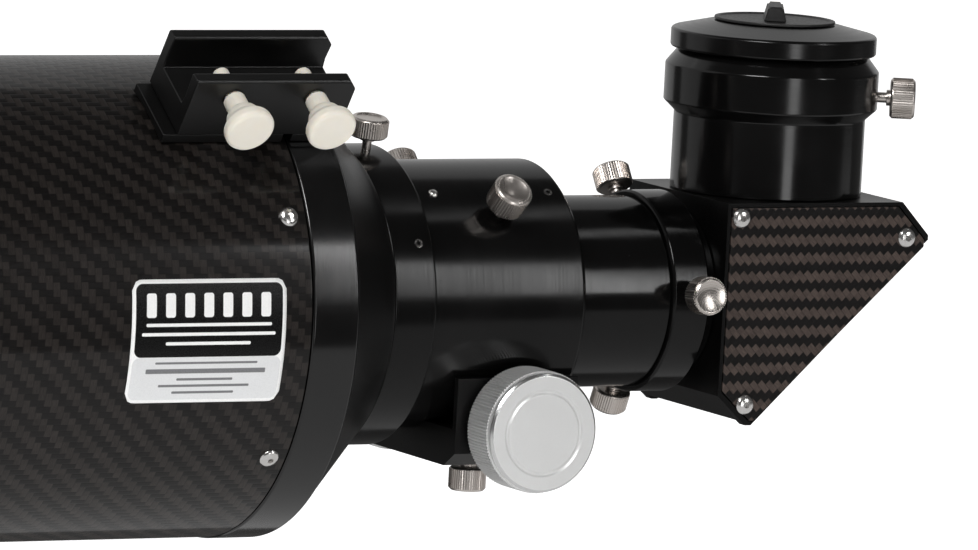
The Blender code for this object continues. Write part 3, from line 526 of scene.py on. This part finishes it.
for node, (name, body, face_kind, head) in THUMBSCREWS.items():
    origin, out = Vector(joint[name]["pos_m"]), Vector(joint[name]["axis"]).normalized()
    tip, end, edge = measured(node, origin, out)
    stem = 1.5 if node == "collar_lock_screw" else 1.7 if "holder" in node or "eyepiece" in node else 2.0
    shoulder, rim = end - head, edge - 0.35
    hollow = {"cone": [(end, rim - 1.2), (end - 2.4, 0)], "lathed": [(end, rim - 0.7), (end - 1.9, 0)],
              "dished": [(end, rim - 1.4), (end - 0.5, rim - 1.9), (end - 0.5, 0)]}[face_kind]
    outline = [(tip, 0), (tip, stem - 0.4), (tip + 0.5, stem), (shoulder - 1.2, stem),
               (shoulder - 1.2, stem + 0.9), (shoulder, stem + 0.9), (shoulder, rim - 0.5),
               (shoulder + 0.5, rim), (end - 0.6, rim), (end, rim - 0.6)] + hollow
    piece(node.replace("_screw", "_thumbscrew"), turned(softened(outline, 0.18, 2), origin, out, 72),
          lathed_nickel if face_kind == "lathed" else nickel, body, node)
    knurled(node.replace("_screw", "_knurl"), body, "nickel", nickel, origin, out, shoulder + 0.7, end - 0.8,
            rim, 48, 0.29)


# ---------------------------------------------------------------- dew shield
# A thin aluminium sleeve, black anodised, that slides forward over the cell; a rolled rib at each end.
start, end, edge = measured("dew_shield")
inner, seat = measured("objective_cell")[2] + 2.6, measured("main_tube")[2] + 0.3
foot = 11.0
outline = [(start, inner), (start, edge), (start + 9, edge), (start + 10, edge - 1.4),
           (end - foot - 1, edge - 1.4), (end - foot, edge - 0.4), (end - 1, edge - 0.4), (end, edge - 1.4),
           (end, seat), (end - foot, seat), (end - foot, inner)]
lathed("sliding_dew_shield", "dew_shield", turned_black, "dew_shield", outline, 0.5, steps=192)


# ---------------------------------------------------------------- rear end ring, cone and collar
# Three turned castings close the tube: a polished parallel ring screwed into it, a bead-blasted
# cone, and the collar in which the whole focuser rotates.
ring_black = anodised("polished_ring_anodised", optical_axis, along_x, 0.13, specular=0.6)
cone_black = anodised("blasted_cone_anodised", optical_axis, None, 0.33, specular=0.2)
start, end, edge = measured("rear_end_ring")
tube_bore = measured("main_tube")[2] - wall
face = start + 14.3
outline = [(start, tube_bore - 4), (start, tube_bore - 0.3), (face, tube_bore - 0.3), (face, edge - 0.5),
           (face + 0.5, edge), (end - 0.6, edge), (end, edge - 0.6), (end, tube_bore - 4)]
lathed("end_ring", "rear_end_ring", ring_black, "tube", outline, 0.3, steps=192)
start, end, edge = measured("rear_cone")
narrow = measured("focuser_collar")[2] + 1.5
outline = [(start, edge - 6), (start, edge - 0.3), (start + 0.3, edge), (end - 1, narrow + 0.6),
           (end, narrow), (end, narrow - 9), (end - 4, narrow - 9)]
lathed("tail_cone", "rear_cone", cone_black, "tube", outline, 0.4, steps=192)
start, end, edge = measured("focuser_collar")
SPIGOT_STEP, RUNNING_FIT = 5.7, 0.21    # mm that the body's spigot is smaller, and its room in the collar
socket = measured("focuser_body")[2] - SPIGOT_STEP + RUNNING_FIT
outline = [(start, socket), (start, edge - 0.7), (start + 0.7, edge), (end - 0.7, edge), (end, edge - 0.7),
           (end, socket)]
lathed("rotation_collar", "focuser_collar", turned_black, "tube", outline, 0.25)


# ---------------------------------------------------------------- button and set screws
# Bright button-head screws hold the tube on its end ring and the side plates on the diagonal;
# small socket set screws sit in the collar and the focuser body.
def fastener_tree():
    """One copy of a screw on each vertex, standing along the vertex's stored direction."""
    tree, made, link, given = new_tree("fasteners", ("Places", "Object", None), ("Screw", "Object", None),
                                       ("Size", "Float", 1.0), ("Finish", "Material", None))
    places, screw = made("GeometryNodeObjectInfo"), made("GeometryNodeObjectInfo")
    link(given["Places"], places.inputs["Object"])
    link(given["Screw"], screw.inputs["Object"])
    stored, spin = made("GeometryNodeInputNamedAttribute"), made("FunctionNodeAlignRotationToVector")
    stored.data_type = 'FLOAT_VECTOR'
    stored.inputs["Name"].default_value = "out"
    spin.axis = 'Z'
    link(stored.outputs[0], spin.inputs["Vector"])
    laid = made("GeometryNodeInstanceOnPoints")
    link(places.outputs["Geometry"], laid.inputs["Points"])
    link(screw.outputs["Geometry"], laid.inputs["Instance"])
    link(spin.outputs[0], laid.inputs["Rotation"])
    link(given["Size"], laid.inputs["Scale"])
    end_tree(made, link, given, laid.outputs[0])
    return tree


fasteners = fastener_tree()


def cut_away(thing, cutter):
    """Apply an exact cut to an object and remove the cutter."""
    cut = thing.modifiers.new("cut", 'BOOLEAN')
    cut.operation, cut.solver, cut.object = 'DIFFERENCE', 'EXACT', cutter
    make_real(thing)
    bpy.data.objects.remove(cutter)


def screw_pattern(outline, socket):
    """A turned screw head standing on +Z with a hexagon socket, kept as a pattern."""
    shape = turned(softened(outline, 0.12, 2), Vector((0, 0, 0)), Vector((0, 0, 1)), 40)
    head = stand("screw_pattern", mesh_of("screw_pattern", shape))
    key = bmesh.new()
    across, top = socket * MM, max(a for a, r in outline) * MM
    bmesh.ops.create_cone(key, cap_ends=True, segments=6, radius1=across, radius2=across, depth=0.003)
    bmesh.ops.translate(key, vec=(0, 0, top + 0.0005), verts=key.verts)
    cut_away(head, stand("hex_key", mesh_of("hex_key", key)))
    head.data.shade_smooth()
    head.data.set_sharp_from_angle(angle=math.radians(38))
    return head


def fasten(name, body, slot, finish, pattern, spots):
    """Put one screw of a pattern at each (place, outward direction)."""
    mesh = bpy.data.meshes.new("spots")
    mesh.from_pydata([tuple(place) for place, out in spots], [], [])
    stored = mesh.attributes.new("out", 'FLOAT_VECTOR', 'POINT')
    for item, (place, out) in zip(stored.data, spots):
        item.vector = out
    holder = stand("spots", mesh)
    made = made_by(fasteners, name, body, slot, Places=holder, Screw=pattern, Size=1.0, Finish=finish)
    bpy.data.objects.remove(holder)
    return made


def around(angle):
    """Direction square to the optical axis: 0 points to the near side, 90 points up."""
    a = math.radians(angle)
    return Vector((0, -math.cos(a), math.sin(a)))


chrome = new_finish("bright_steel", "steel", (0.82, 0.80, 0.78), 0.1, 1.0)
mottled(chrome, noise(chrome, object_place(chrome), 500.0), (0.16, 0.28), (0.70, 0.68, 0.66),
        (0.90, 0.885, 0.87))
dark_steel = new_finish("blackened_steel", "steel", (0.30, 0.29, 0.28), 0.3, 1.0)
mottled(dark_steel, noise(dark_steel, object_place(dark_steel), 900.0), (0.15, 0.35), (0.22, 0.21, 0.20),
        (0.42, 0.41, 0.40))
button = screw_pattern([(0.0, 0), (0.0, 3.2), (0.5, 3.2), (1.1, 2.75), (1.5, 2.05), (1.75, 1.1),
                        (1.75, 0)], 1.0)
set_screw = screw_pattern([(-0.6, 0), (-0.6, 1.45), (0.12, 1.45), (0.12, 0)], 0.75)
dome = screw_pattern([(-0.6, 0), (-0.6, 1.6), (0.3, 1.6), (0.85, 1.1), (1.0, 0.5), (1.0, 0)], 0.2)

TUBE_SCREWS, TUBE_SCREW_ANGLE, TUBE_SCREW_X = 6, 26.4, -6.1
tube_radius = measured("main_tube")[2]


def round_row(x, reach, angles):
    """Screw places at x mm along the optical axis, reach mm out from it."""
    return [(optical_axis + MM * (x * along_x + reach * around(a)), around(a)) for a in angles]


fasten("tube_button_screws", "tube", "steel", chrome, button,
       round_row(TUBE_SCREW_X, tube_radius - 0.03, [TUBE_SCREW_ANGLE + 60 * k for k in range(TUBE_SCREWS)]))
collar_end, collar_radius = measured("focuser_collar")[1:]
fasten("collar_set_screws", "tube", "steel", dark_steel, set_screw,
       round_row(collar_end - 5.2, collar_radius, (27, 147, 267)))
body_end, body_radius = measured("focuser_body")[1:]
fasten("body_dome_screws", "focuser", "steel", chrome, dome,
       round_row(body_end - 48.2, body_radius, (55, 125)))
fasten("body_set_screws", "focuser", "steel", dark_steel, set_screw,
       round_row(body_end - 6.6, body_radius, (55.5, 124.5)))


# ---------------------------------------------------------------- focuser body
# A black anodised housing bored for the drawtube, flat underneath where the pinion saddle bolts on.
def block(low, high):
    """A plain box between two corners in mm on the optical axis, used as a cutter."""
    shape = bmesh.new()
    bmesh.ops.create_cube(shape, size=1.0)
    size, middle = Vector(high) - Vector(low), (Vector(high) + Vector(low)) / 2
    bmesh.ops.scale(shape, vec=size * MM, verts=shape.verts)
    bmesh.ops.translate(shape, vec=optical_axis + middle * MM, verts=shape.verts)
    return stand("cutter", mesh_of("cutter", shape))


start, end, edge = measured("focuser_body")
shoulder, spigot, bearing = start + 8.0, edge - SPIGOT_STEP, measured("drawtube")[2] + 0.1
outline = [(start, bearing), (start, spigot), (shoulder, spigot), (shoulder, edge - 0.7),
           (shoulder + 0.7, edge), (end - 1.6, edge), (end, edge - 1.6), (end, bearing)]
saddle_start = measured("pinion_block")[0]
FLAT_DEPTH, SLOT_HALF, SLOT_DEPTH = 4.7, 4.2, 5.0     # mm: the saddle's flat and the rack's slot
focuser = lathed("focuser_housing", "focuser_body", turned_black, "focuser", outline, 0.35, steps=192)
cut_away(focuser, block((saddle_start - 0.3, -60, -edge - 20), (end + 5, 60, FLAT_DEPTH - edge)))
cut_away(focuser, block((start - 5, -SLOT_HALF, -edge), (end + 5, SLOT_HALF, SLOT_DEPTH - bearing)))


# ---------------------------------------------------------------- flat machined pieces
# The saddle, the diagonal's box, the finder shoe with its feet, the cradle rings and the bar
# are milled. Their edges are broken with a small chamfer that catches the light.
def milled(name, node, finish, body, bevel, weld=1e-6):
    """A copy of a CAD node with its edges rounded, standing for it."""
    shape = bmesh.new()
    shape.from_mesh(frame["nodes"][node].data)
    bmesh.ops.remove_doubles(shape, verts=shape.verts, dist=weld)
    bmesh.ops.dissolve_limit(shape, angle_limit=math.radians(1.0), verts=shape.verts, edges=shape.edges)
    made = piece(name, shape, finish, body, node)
    round_off = made.modifiers.new("edges", 'BEVEL')
    round_off.width, round_off.segments, round_off.limit_method = bevel * MM, 3, 'ANGLE'
    round_off.angle_limit, round_off.harden_normals = math.radians(32), True
    return made


milled_black = anodised("milled_black_anodised", optical_axis, None, 0.30, specular=0.2, mark=0.5)
milled("pinion_saddle", "pinion_block", milled_black, "focuser", 0.5)


# ---------------------------------------------------------------- drawtube, rack and pinion
# The drawtube is hard anodised and slightly glossier than the body; a steel rack runs under it
# and the pinion shaft crosses below, between its two bearings in the saddle.
tube_black = anodised("drawtube_anodised", optical_axis, along_x, 0.125, specular=0.25)
start, end, edge = measured("drawtube")
bore = edge - 3.4
outline = [(start, bore), (start, edge), (end, edge), (end, bore)]
lathed("focus_drawtube", "drawtube", tube_black, "drawtube", outline, 0.25, steps=192)
steel = new_finish("ground_steel", "steel", (0.50, 0.49, 0.48), 0.3, 1.0)
grind = noise(steel, object_place(steel, (0, 0, 0), (1, 0.02, 1)), 1800.0)
mottled(steel, grind, (0.2, 0.42), (0.40, 0.39, 0.38), (0.60, 0.59, 0.58))
milled("steel_rack", "drawtube_rack", steel, "drawtube", 0.06)
milled("pinion_axle", "pinion_shaft", steel, "pinion", 0.1)


# ---------------------------------------------------------------- focusing knobs
# Silver anodised knobs with fine straight ribs, a bright turned bevel and a groove in the face.
# The far knob carries the smaller black fine-focus knob on the same shaft.
silver = new_finish("satin_silver_anodised", "satin_silver", (0.75, 0.75, 0.75), 0.42, 0.7)
turn_marks = noise(silver, object_place(silver, optical_axis, (1, 0.02, 1)), 1400.0, 2.0)
cloud = noise(silver, object_place(silver), 60.0)
connect(silver, Roughness=between(silver, turn_marks, 0.3, 0.7, 0.38, 0.5),
        Base_Color=blend_colours(silver, cloud, (0.735, 0.735, 0.73, 1), (0.82, 0.82, 0.815, 1)),
        Normal=bump(silver, turn_marks, 0.00002, 0.3))
bright_bevel = new_finish("bright_turned_bevel", "satin_silver", (0.86, 0.86, 0.86), 0.24, 1.0)
cloud = noise(bright_bevel, object_place(bright_bevel), 300.0)
connect(bright_bevel, Roughness=between(bright_bevel, cloud, 0.3, 0.7, 0.2, 0.28))
shaft = Vector(joint["pinion_turn"]["pos_m"])
hole = 3.3
for side, node, body in ((-1, "coarse_knob_near", "pinion"), (1, "coarse_knob_far", "pinion")):
    out = Vector((0, side, 0))
    back, face, edge = measured(node, shaft, out)
    groove, plain = 0.68 * edge, edge - 0.25
    outline = [(back, hole), (back, plain - 1), (back + 1, plain), (face - 2.6, plain),
               (face - 2.4, edge - 0.4), (face - 1.0, edge - 0.4), (face - 0.2, edge - 1.2),
               (face - 0.2, groove + 0.85), (face - 0.75, groove + 0.25), (face - 0.75, groove - 0.25),
               (face - 0.2, groove - 0.85)]
    outline += [(face - 0.25, 0), (face - 3.5, 0), (face - 3.5, hole)] if side < 0 else [(face - 0.25, hole)]
    knob = lathed(node + "_turned", node, silver, body, outline, 0.2, shaft, out, 192)
    knob.data.materials.append(bright_bevel)
    for polygon in knob.data.polygons:
        place = (Vector(polygon.center) - shaft) / MM
        depth, reach = place.dot(out), Vector((place.x, 0, place.z)).length
        tilted = 0.2 < abs(polygon.normal.dot(out)) < 0.97
        if tilted and reach > edge - 1.6 and depth > face - 2:
            polygon.material_index = 1
    knurled(node + "_ribs", body, "satin_silver", silver, shaft, out, back + 1.2, face - 2.8, plain,
            120, 0.45)
out = Vector((0, 1, 0))
start, end, edge = measured("fine_focus_knob", shaft, out)
fine_black = anodised("fine_knob_anodised", shaft, Vector((0, 1, 0)), 0.28)
outline = [(start, hole), (start, edge - 1), (start + 1, edge - 0.3), (end - 1, edge - 0.3),
           (end, edge - 1.3), (end, 4), (end - 0.6, 3.4), (end - 0.6, 0), (end - 7, 0), (end - 7, hole)]
lathed("fine_knob_turned", "fine_focus_knob", fine_black, "fine_focus", outline, 0.2, shaft, out, 128)
knurled("fine_knob_ribs", "fine_focus", "anodised", fine_black, shaft, out, start + 1.3, end - 1.5,
        edge - 0.3, 72, 0.4)


# ---------------------------------------------------------------- eyepiece holder
# The 2 inch holder on the end of the drawtube, with a brass clamping band inside that its three
# thumbscrews press on the diagonal's barrel.
start, end, edge = measured("eyepiece_holder")
NOSE_STEP = 2.1                   # mm that the nosepiece's shoulder stands out
grip = measured("nosepiece")[2] - NOSE_STEP + 0.3
deep, lip = grip + 1.9, 4.0
outline = [(start, grip), (start, edge - 0.7), (start + 0.7, edge), (end - 0.9, edge), (end, edge - 0.9),
           (end, grip + 0.8), (end - 0.8, grip), (end - lip, grip), (end - lip, deep), (start + lip, deep),
           (start + lip, grip)]
lathed("two_inch_holder", "eyepiece_holder", tube_black, "drawtube", outline, 0.25)
brass = new_finish("plain_brass", "brass", (0.72, 0.52, 0.24), 0.3, 1.0)
mottled(brass, noise(brass, object_place(brass), 220.0, 4.0), (0.2, 0.4), (0.60, 0.42, 0.18),
        (0.80, 0.60, 0.30))
milled("holder_band", "holder_clamp_band", brass, "drawtube", 0.1)
start, end, edge = measured("nosepiece")
nose, bore = edge - NOSE_STEP, edge - NOSE_STEP - 2.4
outline = [(start, bore), (start, nose - 0.4), (start + 0.4, nose), (end - 2.5, nose), (end - 2.5, edge),
           (end, edge), (end, bore)]
lathed("diagonal_nosepiece", "nosepiece", tube_black, "diagonal", outline, 0.2)


# ---------------------------------------------------------------- star diagonal box
# A milled black box with a woven carbon plate let into each side, three button screws a side,
# a flat mirror inside and a cover behind it. The plates' twill runs at 45 degrees to their edges.
eyepiece = Vector(joint["eyepiece_lock_turn"]["pos_m"])
milled("diagonal_box", "diagonal_housing", milled_black, "diagonal", 0.35)
milled("mirror_cover", "diagonal_back_plate", milled_black, "diagonal", 0.3)
PLATE_TOW = 2.09                  # mm
carbon_plate = new_finish("carbon_plate_twill", "carbon", (0.05, 0.045, 0.04), 0.4, Coat_Weight=0.25,
                          Coat_Roughness=0.16, Specular_IOR_Level=0.15)
weave = add(carbon_plate, "ShaderNodeSeparateXYZ",
            {0: object_place(carbon_plate, (eyepiece.x, 0, optical_axis.z), (1000 / PLATE_TOW,) * 3,
                             (0, math.radians(45), 0))})
# the first colour is the lighter warp, a painted sheen; the second is the weft's own near-black
twill(carbon_plate, weave.outputs[0], weave.outputs[2], (0.058, 0.043, 0.037),
      (0.0040, 0.0034, 0.0032), 0.0001)
milled("near_carbon_plate", "diagonal_plate_near", carbon_plate, "diagonal", 0.25)
milled("far_carbon_plate", "diagonal_plate_far", carbon_plate, "diagonal", 0.25)
front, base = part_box("diagonal_housing")[0].x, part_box("diagonal_housing")[0].z
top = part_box("diagonal_housing")[1].z
spots = []
for side, node in ((-1, "diagonal_plate_near"), (1, "diagonal_plate_far")):
    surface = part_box(node)[0].y if side < 0 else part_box(node)[1].y
    for x, z in ((front + 0.0048, top - 0.0046), (eyepiece.x + 0.0346, top - 0.0115),
                 (front + 0.0098, base + 0.0068)):
        spots.append((Vector((x, surface, z)), Vector((0, side, 0))))
fasten("plate_button_screws", "diagonal", "steel", chrome, button, spots)
mirror = new_finish("first_surface_mirror", "mirror", (0.93, 0.93, 0.93), 0.02, 1.0)
film = noise(mirror, object_place(mirror), 60.0)
connect(mirror, Roughness=between(mirror, film, 0.3, 0.8, 0.0, 0.04))
milled("flat_mirror", "diagonal_mirror", mirror, "diagonal", 0.3)


# ---------------------------------------------------------------- eyepiece barrel, adapter and plug
# The barrel stands on the box, with a raised band for the thumbscrew and its own brass clamp.
# The 2 to 1.25 inch adapter drops in, closed by a soft black dust plug with a pull tab.
up = Vector((0, 0, 1))
eye_axis = Vector((eyepiece.x, eyepiece.y, optical_axis.z))
barrel_black = anodised("barrel_anodised", eye_axis, up, 0.15, specular=0.4)
start, end, edge = measured("eyepiece_barrel", eye_axis, up)
grip, tube_edge = edge - 3.6 - 5.3, edge - 3.6
band_start, band_end = end - 20.4, end - 5.0
outline = [(start, grip), (start, tube_edge), (band_start, tube_edge), (band_start + 3.4, edge),
           (band_end, edge), (end, edge - 4), (end, grip + 0.8), (end - 0.8, grip), (band_end - 1, grip),
           (band_end - 1, grip + 2), (band_start + 3, grip + 2), (band_start + 3, grip)]
lathed("two_inch_barrel", "eyepiece_barrel", barrel_black, "diagonal", outline, 0.35, eye_axis, up)
milled("barrel_band", "barrel_clamp_band", brass, "diagonal", 0.1)
start, end, edge = measured("eyepiece_adapter", eye_axis, up)
small_bore, barrel = 15.95, grip - 0.3
base, rim = end - 9.2, end - 2.9
outline = [(start, small_bore), (start, barrel - 0.4), (start + 0.4, barrel), (base, barrel),
           (base, edge - 0.5), (base + 0.5, edge), (rim - 0.6, edge), (rim, edge - 0.6),
           (end, small_bore + 4.6), (end, small_bore)]
adapter_black = anodised("adapter_anodised", eye_axis, up, 0.20, specular=0.4)
lathed("size_adapter", "eyepiece_adapter", adapter_black, "adapter", outline, 0.3, eye_axis, up)
rubber = new_finish("soft_black_plastic", "black_plastic", (0.018, 0.018, 0.018), 0.45)
grain = noise(rubber, object_place(rubber), 1300.0)
mottled(rubber, grain, (0.36, 0.55), (0.013, 0.013, 0.013), (0.027, 0.026, 0.026))
connect(rubber, Normal=bump(rubber, grain, 0.00005, 0.3))
start, end, edge = measured("dust_plug", eye_axis, up)
seat = start + 16.0
outline = [(start, 0), (start, small_bore - 0.9), (start + 0.8, small_bore - 0.3),
           (seat, small_bore - 0.3), (seat, edge), (seat + 0.9, edge), (seat + 0.9, edge - 1.4),
           (seat + 0.4, edge - 2), (seat + 0.4, 0)]
lathed("dust_cap", "dust_plug", rubber, "plug", outline, 0.3, eye_axis, up, 128)
tab = bmesh.new()
half, rise = 10.0, end - seat
tab_outline = [(-3.7, 0.2), (3.7, 0.2), (2.4, rise), (-2.4, rise)]
turn = Matrix.Rotation(math.radians(-29), 4, 'Z')
rows = []
for y in (-half, half):
    rows.append([tab.verts.new(eye_axis + MM * (turn @ Vector((a, y, seat + b)))) for a, b in tab_outline])
tab.faces.new(rows[0])
tab.faces.new(rows[1][::-1])
for k in range(4):
    tab.faces.new((rows[0][k - 1], rows[1][k - 1], rows[1][k], rows[0][k]))
bmesh.ops.recalc_face_normals(tab, faces=tab.faces)
bmesh.ops.bevel(tab, geom=list(tab.edges), offset=0.0007, segments=3, affect='EDGES')
piece("dust_cap_tab", tab, rubber, "plug")


# ---------------------------------------------------------------- finder shoe
# A dovetail channel on two feet, tilted towards the near side, with two ivory nylon screws.
shoe_black = anodised("shoe_anodised", optical_axis, None, 0.34, specular=0.45, mark=0.5)
milled("finder_channel", "finder_shoe", shoe_black, "tube", 0.45)
milled("shoe_front_foot", "shoe_base", shoe_black, "tube", 0.35)
milled("shoe_back_foot", "shoe_rear_foot", shoe_black, "tube", 0.35)
nylon = new_finish("ivory_nylon", "nylon", (0.86, 0.83, 0.76), 0.42, Subsurface_Weight=0.25,
                   Subsurface_Radius=(0.004, 0.003, 0.002), Subsurface_Scale=0.5)
cloud = noise(nylon, object_place(nylon), 90.0)
grain = noise(nylon, object_place(nylon), 1100.0)
connect(nylon, Roughness=between(nylon, grain, 0.3, 0.7, 0.36, 0.5), Normal=bump(nylon, grain, 0.00004, 0.3),
        Base_Color=blend_colours(nylon, cloud, (0.80, 0.75, 0.65, 1), (0.85, 0.81, 0.73, 1)))
for name, body, node in (("shoe_screw_front_turn", "shoe_screw_1", "shoe_screw_front"),
                         ("shoe_screw_rear_turn", "shoe_screw_2", "shoe_screw_rear")):
    origin, out = Vector(joint[name]["pos_m"]), Vector(joint[name]["axis"]).normalized()
    tip, end, edge = measured(node, origin, out)
    neck = end - 15.2
    outline = [(tip, 0), (tip, 2.2), (tip + 0.6, 2.7), (neck, 2.7), (neck, 3.5), (end - 9.6, 3.6),
               (end - 8.6, 4.9), (end - 7.2, 5.5), (end - 5.8, 5.9), (end - 4.6, 7.0), (end - 3.4, 7.85),
               (end - 1.2, edge), (end - 0.3, edge - 0.5), (end, edge - 1.5), (end, 0)]
    lathed(node.replace("screw", "nylon_screw"), node, nylon, body, outline, 0.5, origin, out, 96)


# ---------------------------------------------------------------- cradle rings and dovetail bar
# Hinged clamp rings carry the tube on a dovetail bar. Each cap turns on a steel pin and is closed
# by a bolt with a moulded hand knob.
cradle_black = anodised("cradle_anodised", optical_axis, None, 0.36, specular=0.45, mark=0.5)
moulded = new_finish("moulded_black_plastic", "black_plastic", (0.02, 0.02, 0.02), 0.4)
grain = noise(moulded, object_place(moulded), 800.0)
mottled(moulded, grain, (0.34, 0.5), (0.014, 0.014, 0.014), (0.03, 0.03, 0.03))
connect(moulded, Normal=bump(moulded, grain, 0.0001, 0.3))
for tag in ("front", "rear"):
    milled(tag + "_ring_base", "cradle_%s_lower" % tag, cradle_black, "mount", 0.5)
    milled(tag + "_ring_top", "cradle_%s_upper" % tag, cradle_black, "%s_ring_cap" % tag, 0.5)
    pin = Vector(joint[tag + "_ring_open"]["pos_m"])
    start, end, edge = measured("hinge_pin_" + tag, pin, along_x)
    outline = [(start, 0), (start, edge), (end, edge), (end, 0)]
    lathed(tag + "_hinge_pin", "hinge_pin_" + tag, steel, "mount", outline, 0.4, pin, along_x, 48)
    bolt = Vector(joint[tag + "_ring_knob_turn"]["pos_m"])
    start, end, edge = measured("clamp_knob_" + tag, bolt, up)
    body = tag + "_ring_knob"
    outline = [(start, 0), (start, 2.6), (start + 0.4, 3), (end - 14.2, 3), (end - 14.2, 6.5),
               (end - 12, 6.5), (end - 11, edge - 2.2), (end - 10, edge - 1.2), (end - 1.2, edge - 1.2),
               (end, edge - 2.4), (end, 0)]
    lathed(tag + "_clamp_knob", "clamp_knob_" + tag, moulded, body, outline, 0.5, bolt, up, 96)
    knurled(tag + "_clamp_knob_lobes", body, "black_plastic", moulded, bolt, up, end - 10.2, end - 1.5,
            edge - 2.0, 10, 1.9)
bar_black = anodised("bar_anodised", optical_axis, None, 0.33, specular=0.45, mark=0.5)
milled("mounting_bar", "dovetail_bar", bar_black, "mount", 0.6)


# ---------------------------------------------------------------- table, light and camera
# A pale table that ends a little in front of the telescope, soft boxes in front and a white
# wall behind, and a long lens at eye height on the near side.
for pattern in (button, set_screw, dome):
    bpy.data.objects.remove(pattern)
TABLE_EDGE, TABLE_DEEP, TABLE_HALF = -0.38, 6.0, 5.0
table_mesh = bpy.data.meshes.new("table")
table_mesh.from_pydata([(-TABLE_HALF, TABLE_EDGE, 0), (TABLE_HALF, TABLE_EDGE, 0),
                        (TABLE_HALF, TABLE_DEEP, 0), (-TABLE_HALF, TABLE_DEEP, 0)], [], [(0, 1, 2, 3)])
table = stand("table", table_mesh)
table.location.z = -0.0004
pale = new_finish("pale_table", "anodised", (0.9, 0.9, 0.9), 0.7, Emission_Color=(1, 1, 1, 1),
                  Emission_Strength=0.85)
del pale["slot"]
table_mesh.materials.append(pale)


def soft_box(name, azimuth, elevation, distance, wide, tall, power, aim=(0.40, 0, 0.12)):
    """An area light in a direction from the object; azimuth 0 is +X and -90 the near side."""
    a, e = math.radians(azimuth), math.radians(elevation)
    way = Vector((math.cos(e) * math.cos(a), math.cos(e) * math.sin(a), math.sin(e)))
    data = bpy.data.lights.new(name, 'AREA')
    data.shape, data.size, data.size_y, data.energy = 'RECTANGLE', wide, tall, power
    lamp = stand(name, data)
    lamp.location = Vector(aim) + distance * way
    lamp.rotation_euler = way.to_track_quat('Z', 'Y').to_euler()
    lamp.visible_camera = False
    return lamp


soft_box("right_box", -57.2, 15.3, 2.0, 0.14, 0.8, 3.6, (0.315, 0, 0.12))
soft_box("side_box", -54, 16.5, 2.0, 0.50, 0.8, 1.35, (0.45, 0, 0.12))
soft_box("strip_box", -95, 2, 1.6, 0.30, 0.85, 3.0, (0.533, 0, 0.14))
soft_box("key_box", -135, 42, 1.8, 0.6, 0.6, 19)
soft_box("overhead_box", -17.3, 59.8, 1.8, 0.5, 0.08, 0.3, (0.48, 0, 0.12))
soft_box("wall_right", 72, 20, 3.0, 4.8, 3.6, 25)
soft_box("wall_left", 150, 20, 3.0, 3.2, 3.6, 15)
table_card = soft_box("table_card", -90, 90, 0.0, 3.0, 0.40, 1.8, (0.4, -0.19, 0.001))
table_card.rotation_euler = (math.pi, 0, 0)
table_card.visible_diffuse = False
table.visible_glossy = False

world = bpy.data.worlds.new("studio")
bpy.context.scene.world = world
world.use_nodes = True
tree = world.node_tree
backdrop = tree.nodes["Background"]
backdrop.inputs["Color"].default_value = (1, 1, 1, 1)
room = tree.nodes.new("ShaderNodeBackground")
room.inputs["Color"].default_value = (1.0, 0.99, 0.98, 1)
room.inputs["Strength"].default_value = 0.08
seen, mixed = tree.nodes.new("ShaderNodeLightPath"), tree.nodes.new("ShaderNodeMixShader")
tree.links.new(seen.outputs["Is Camera Ray"], mixed.inputs[0])
tree.links.new(room.outputs[0], mixed.inputs[1])
tree.links.new(backdrop.outputs[0], mixed.inputs[2])
tree.links.new(mixed.outputs[0], tree.nodes["World Output"].inputs[0])
bpy.context.scene.view_settings.view_transform = 'Standard'

CAMERA_PLACE, CAMERA_LENS = (-1.2825, -3.0982, 0.5396), 410.9
camera_side, camera_up = Vector((0.8766931, -0.478053, 0.0536145)), Vector((0.010805, 0.130994, 0.991324))
camera_data = bpy.data.cameras.new("camera")
camera_data.lens, camera_data.sensor_width, camera_data.clip_end = CAMERA_LENS, 36.0, 100
camera = stand("camera", camera_data)
turn = Matrix((camera_side, camera_up, camera_side.cross(camera_up))).transposed().to_4x4()
camera.matrix_world = Matrix.Translation(CAMERA_PLACE) @ turn
bpy.context.scene.camera = camera
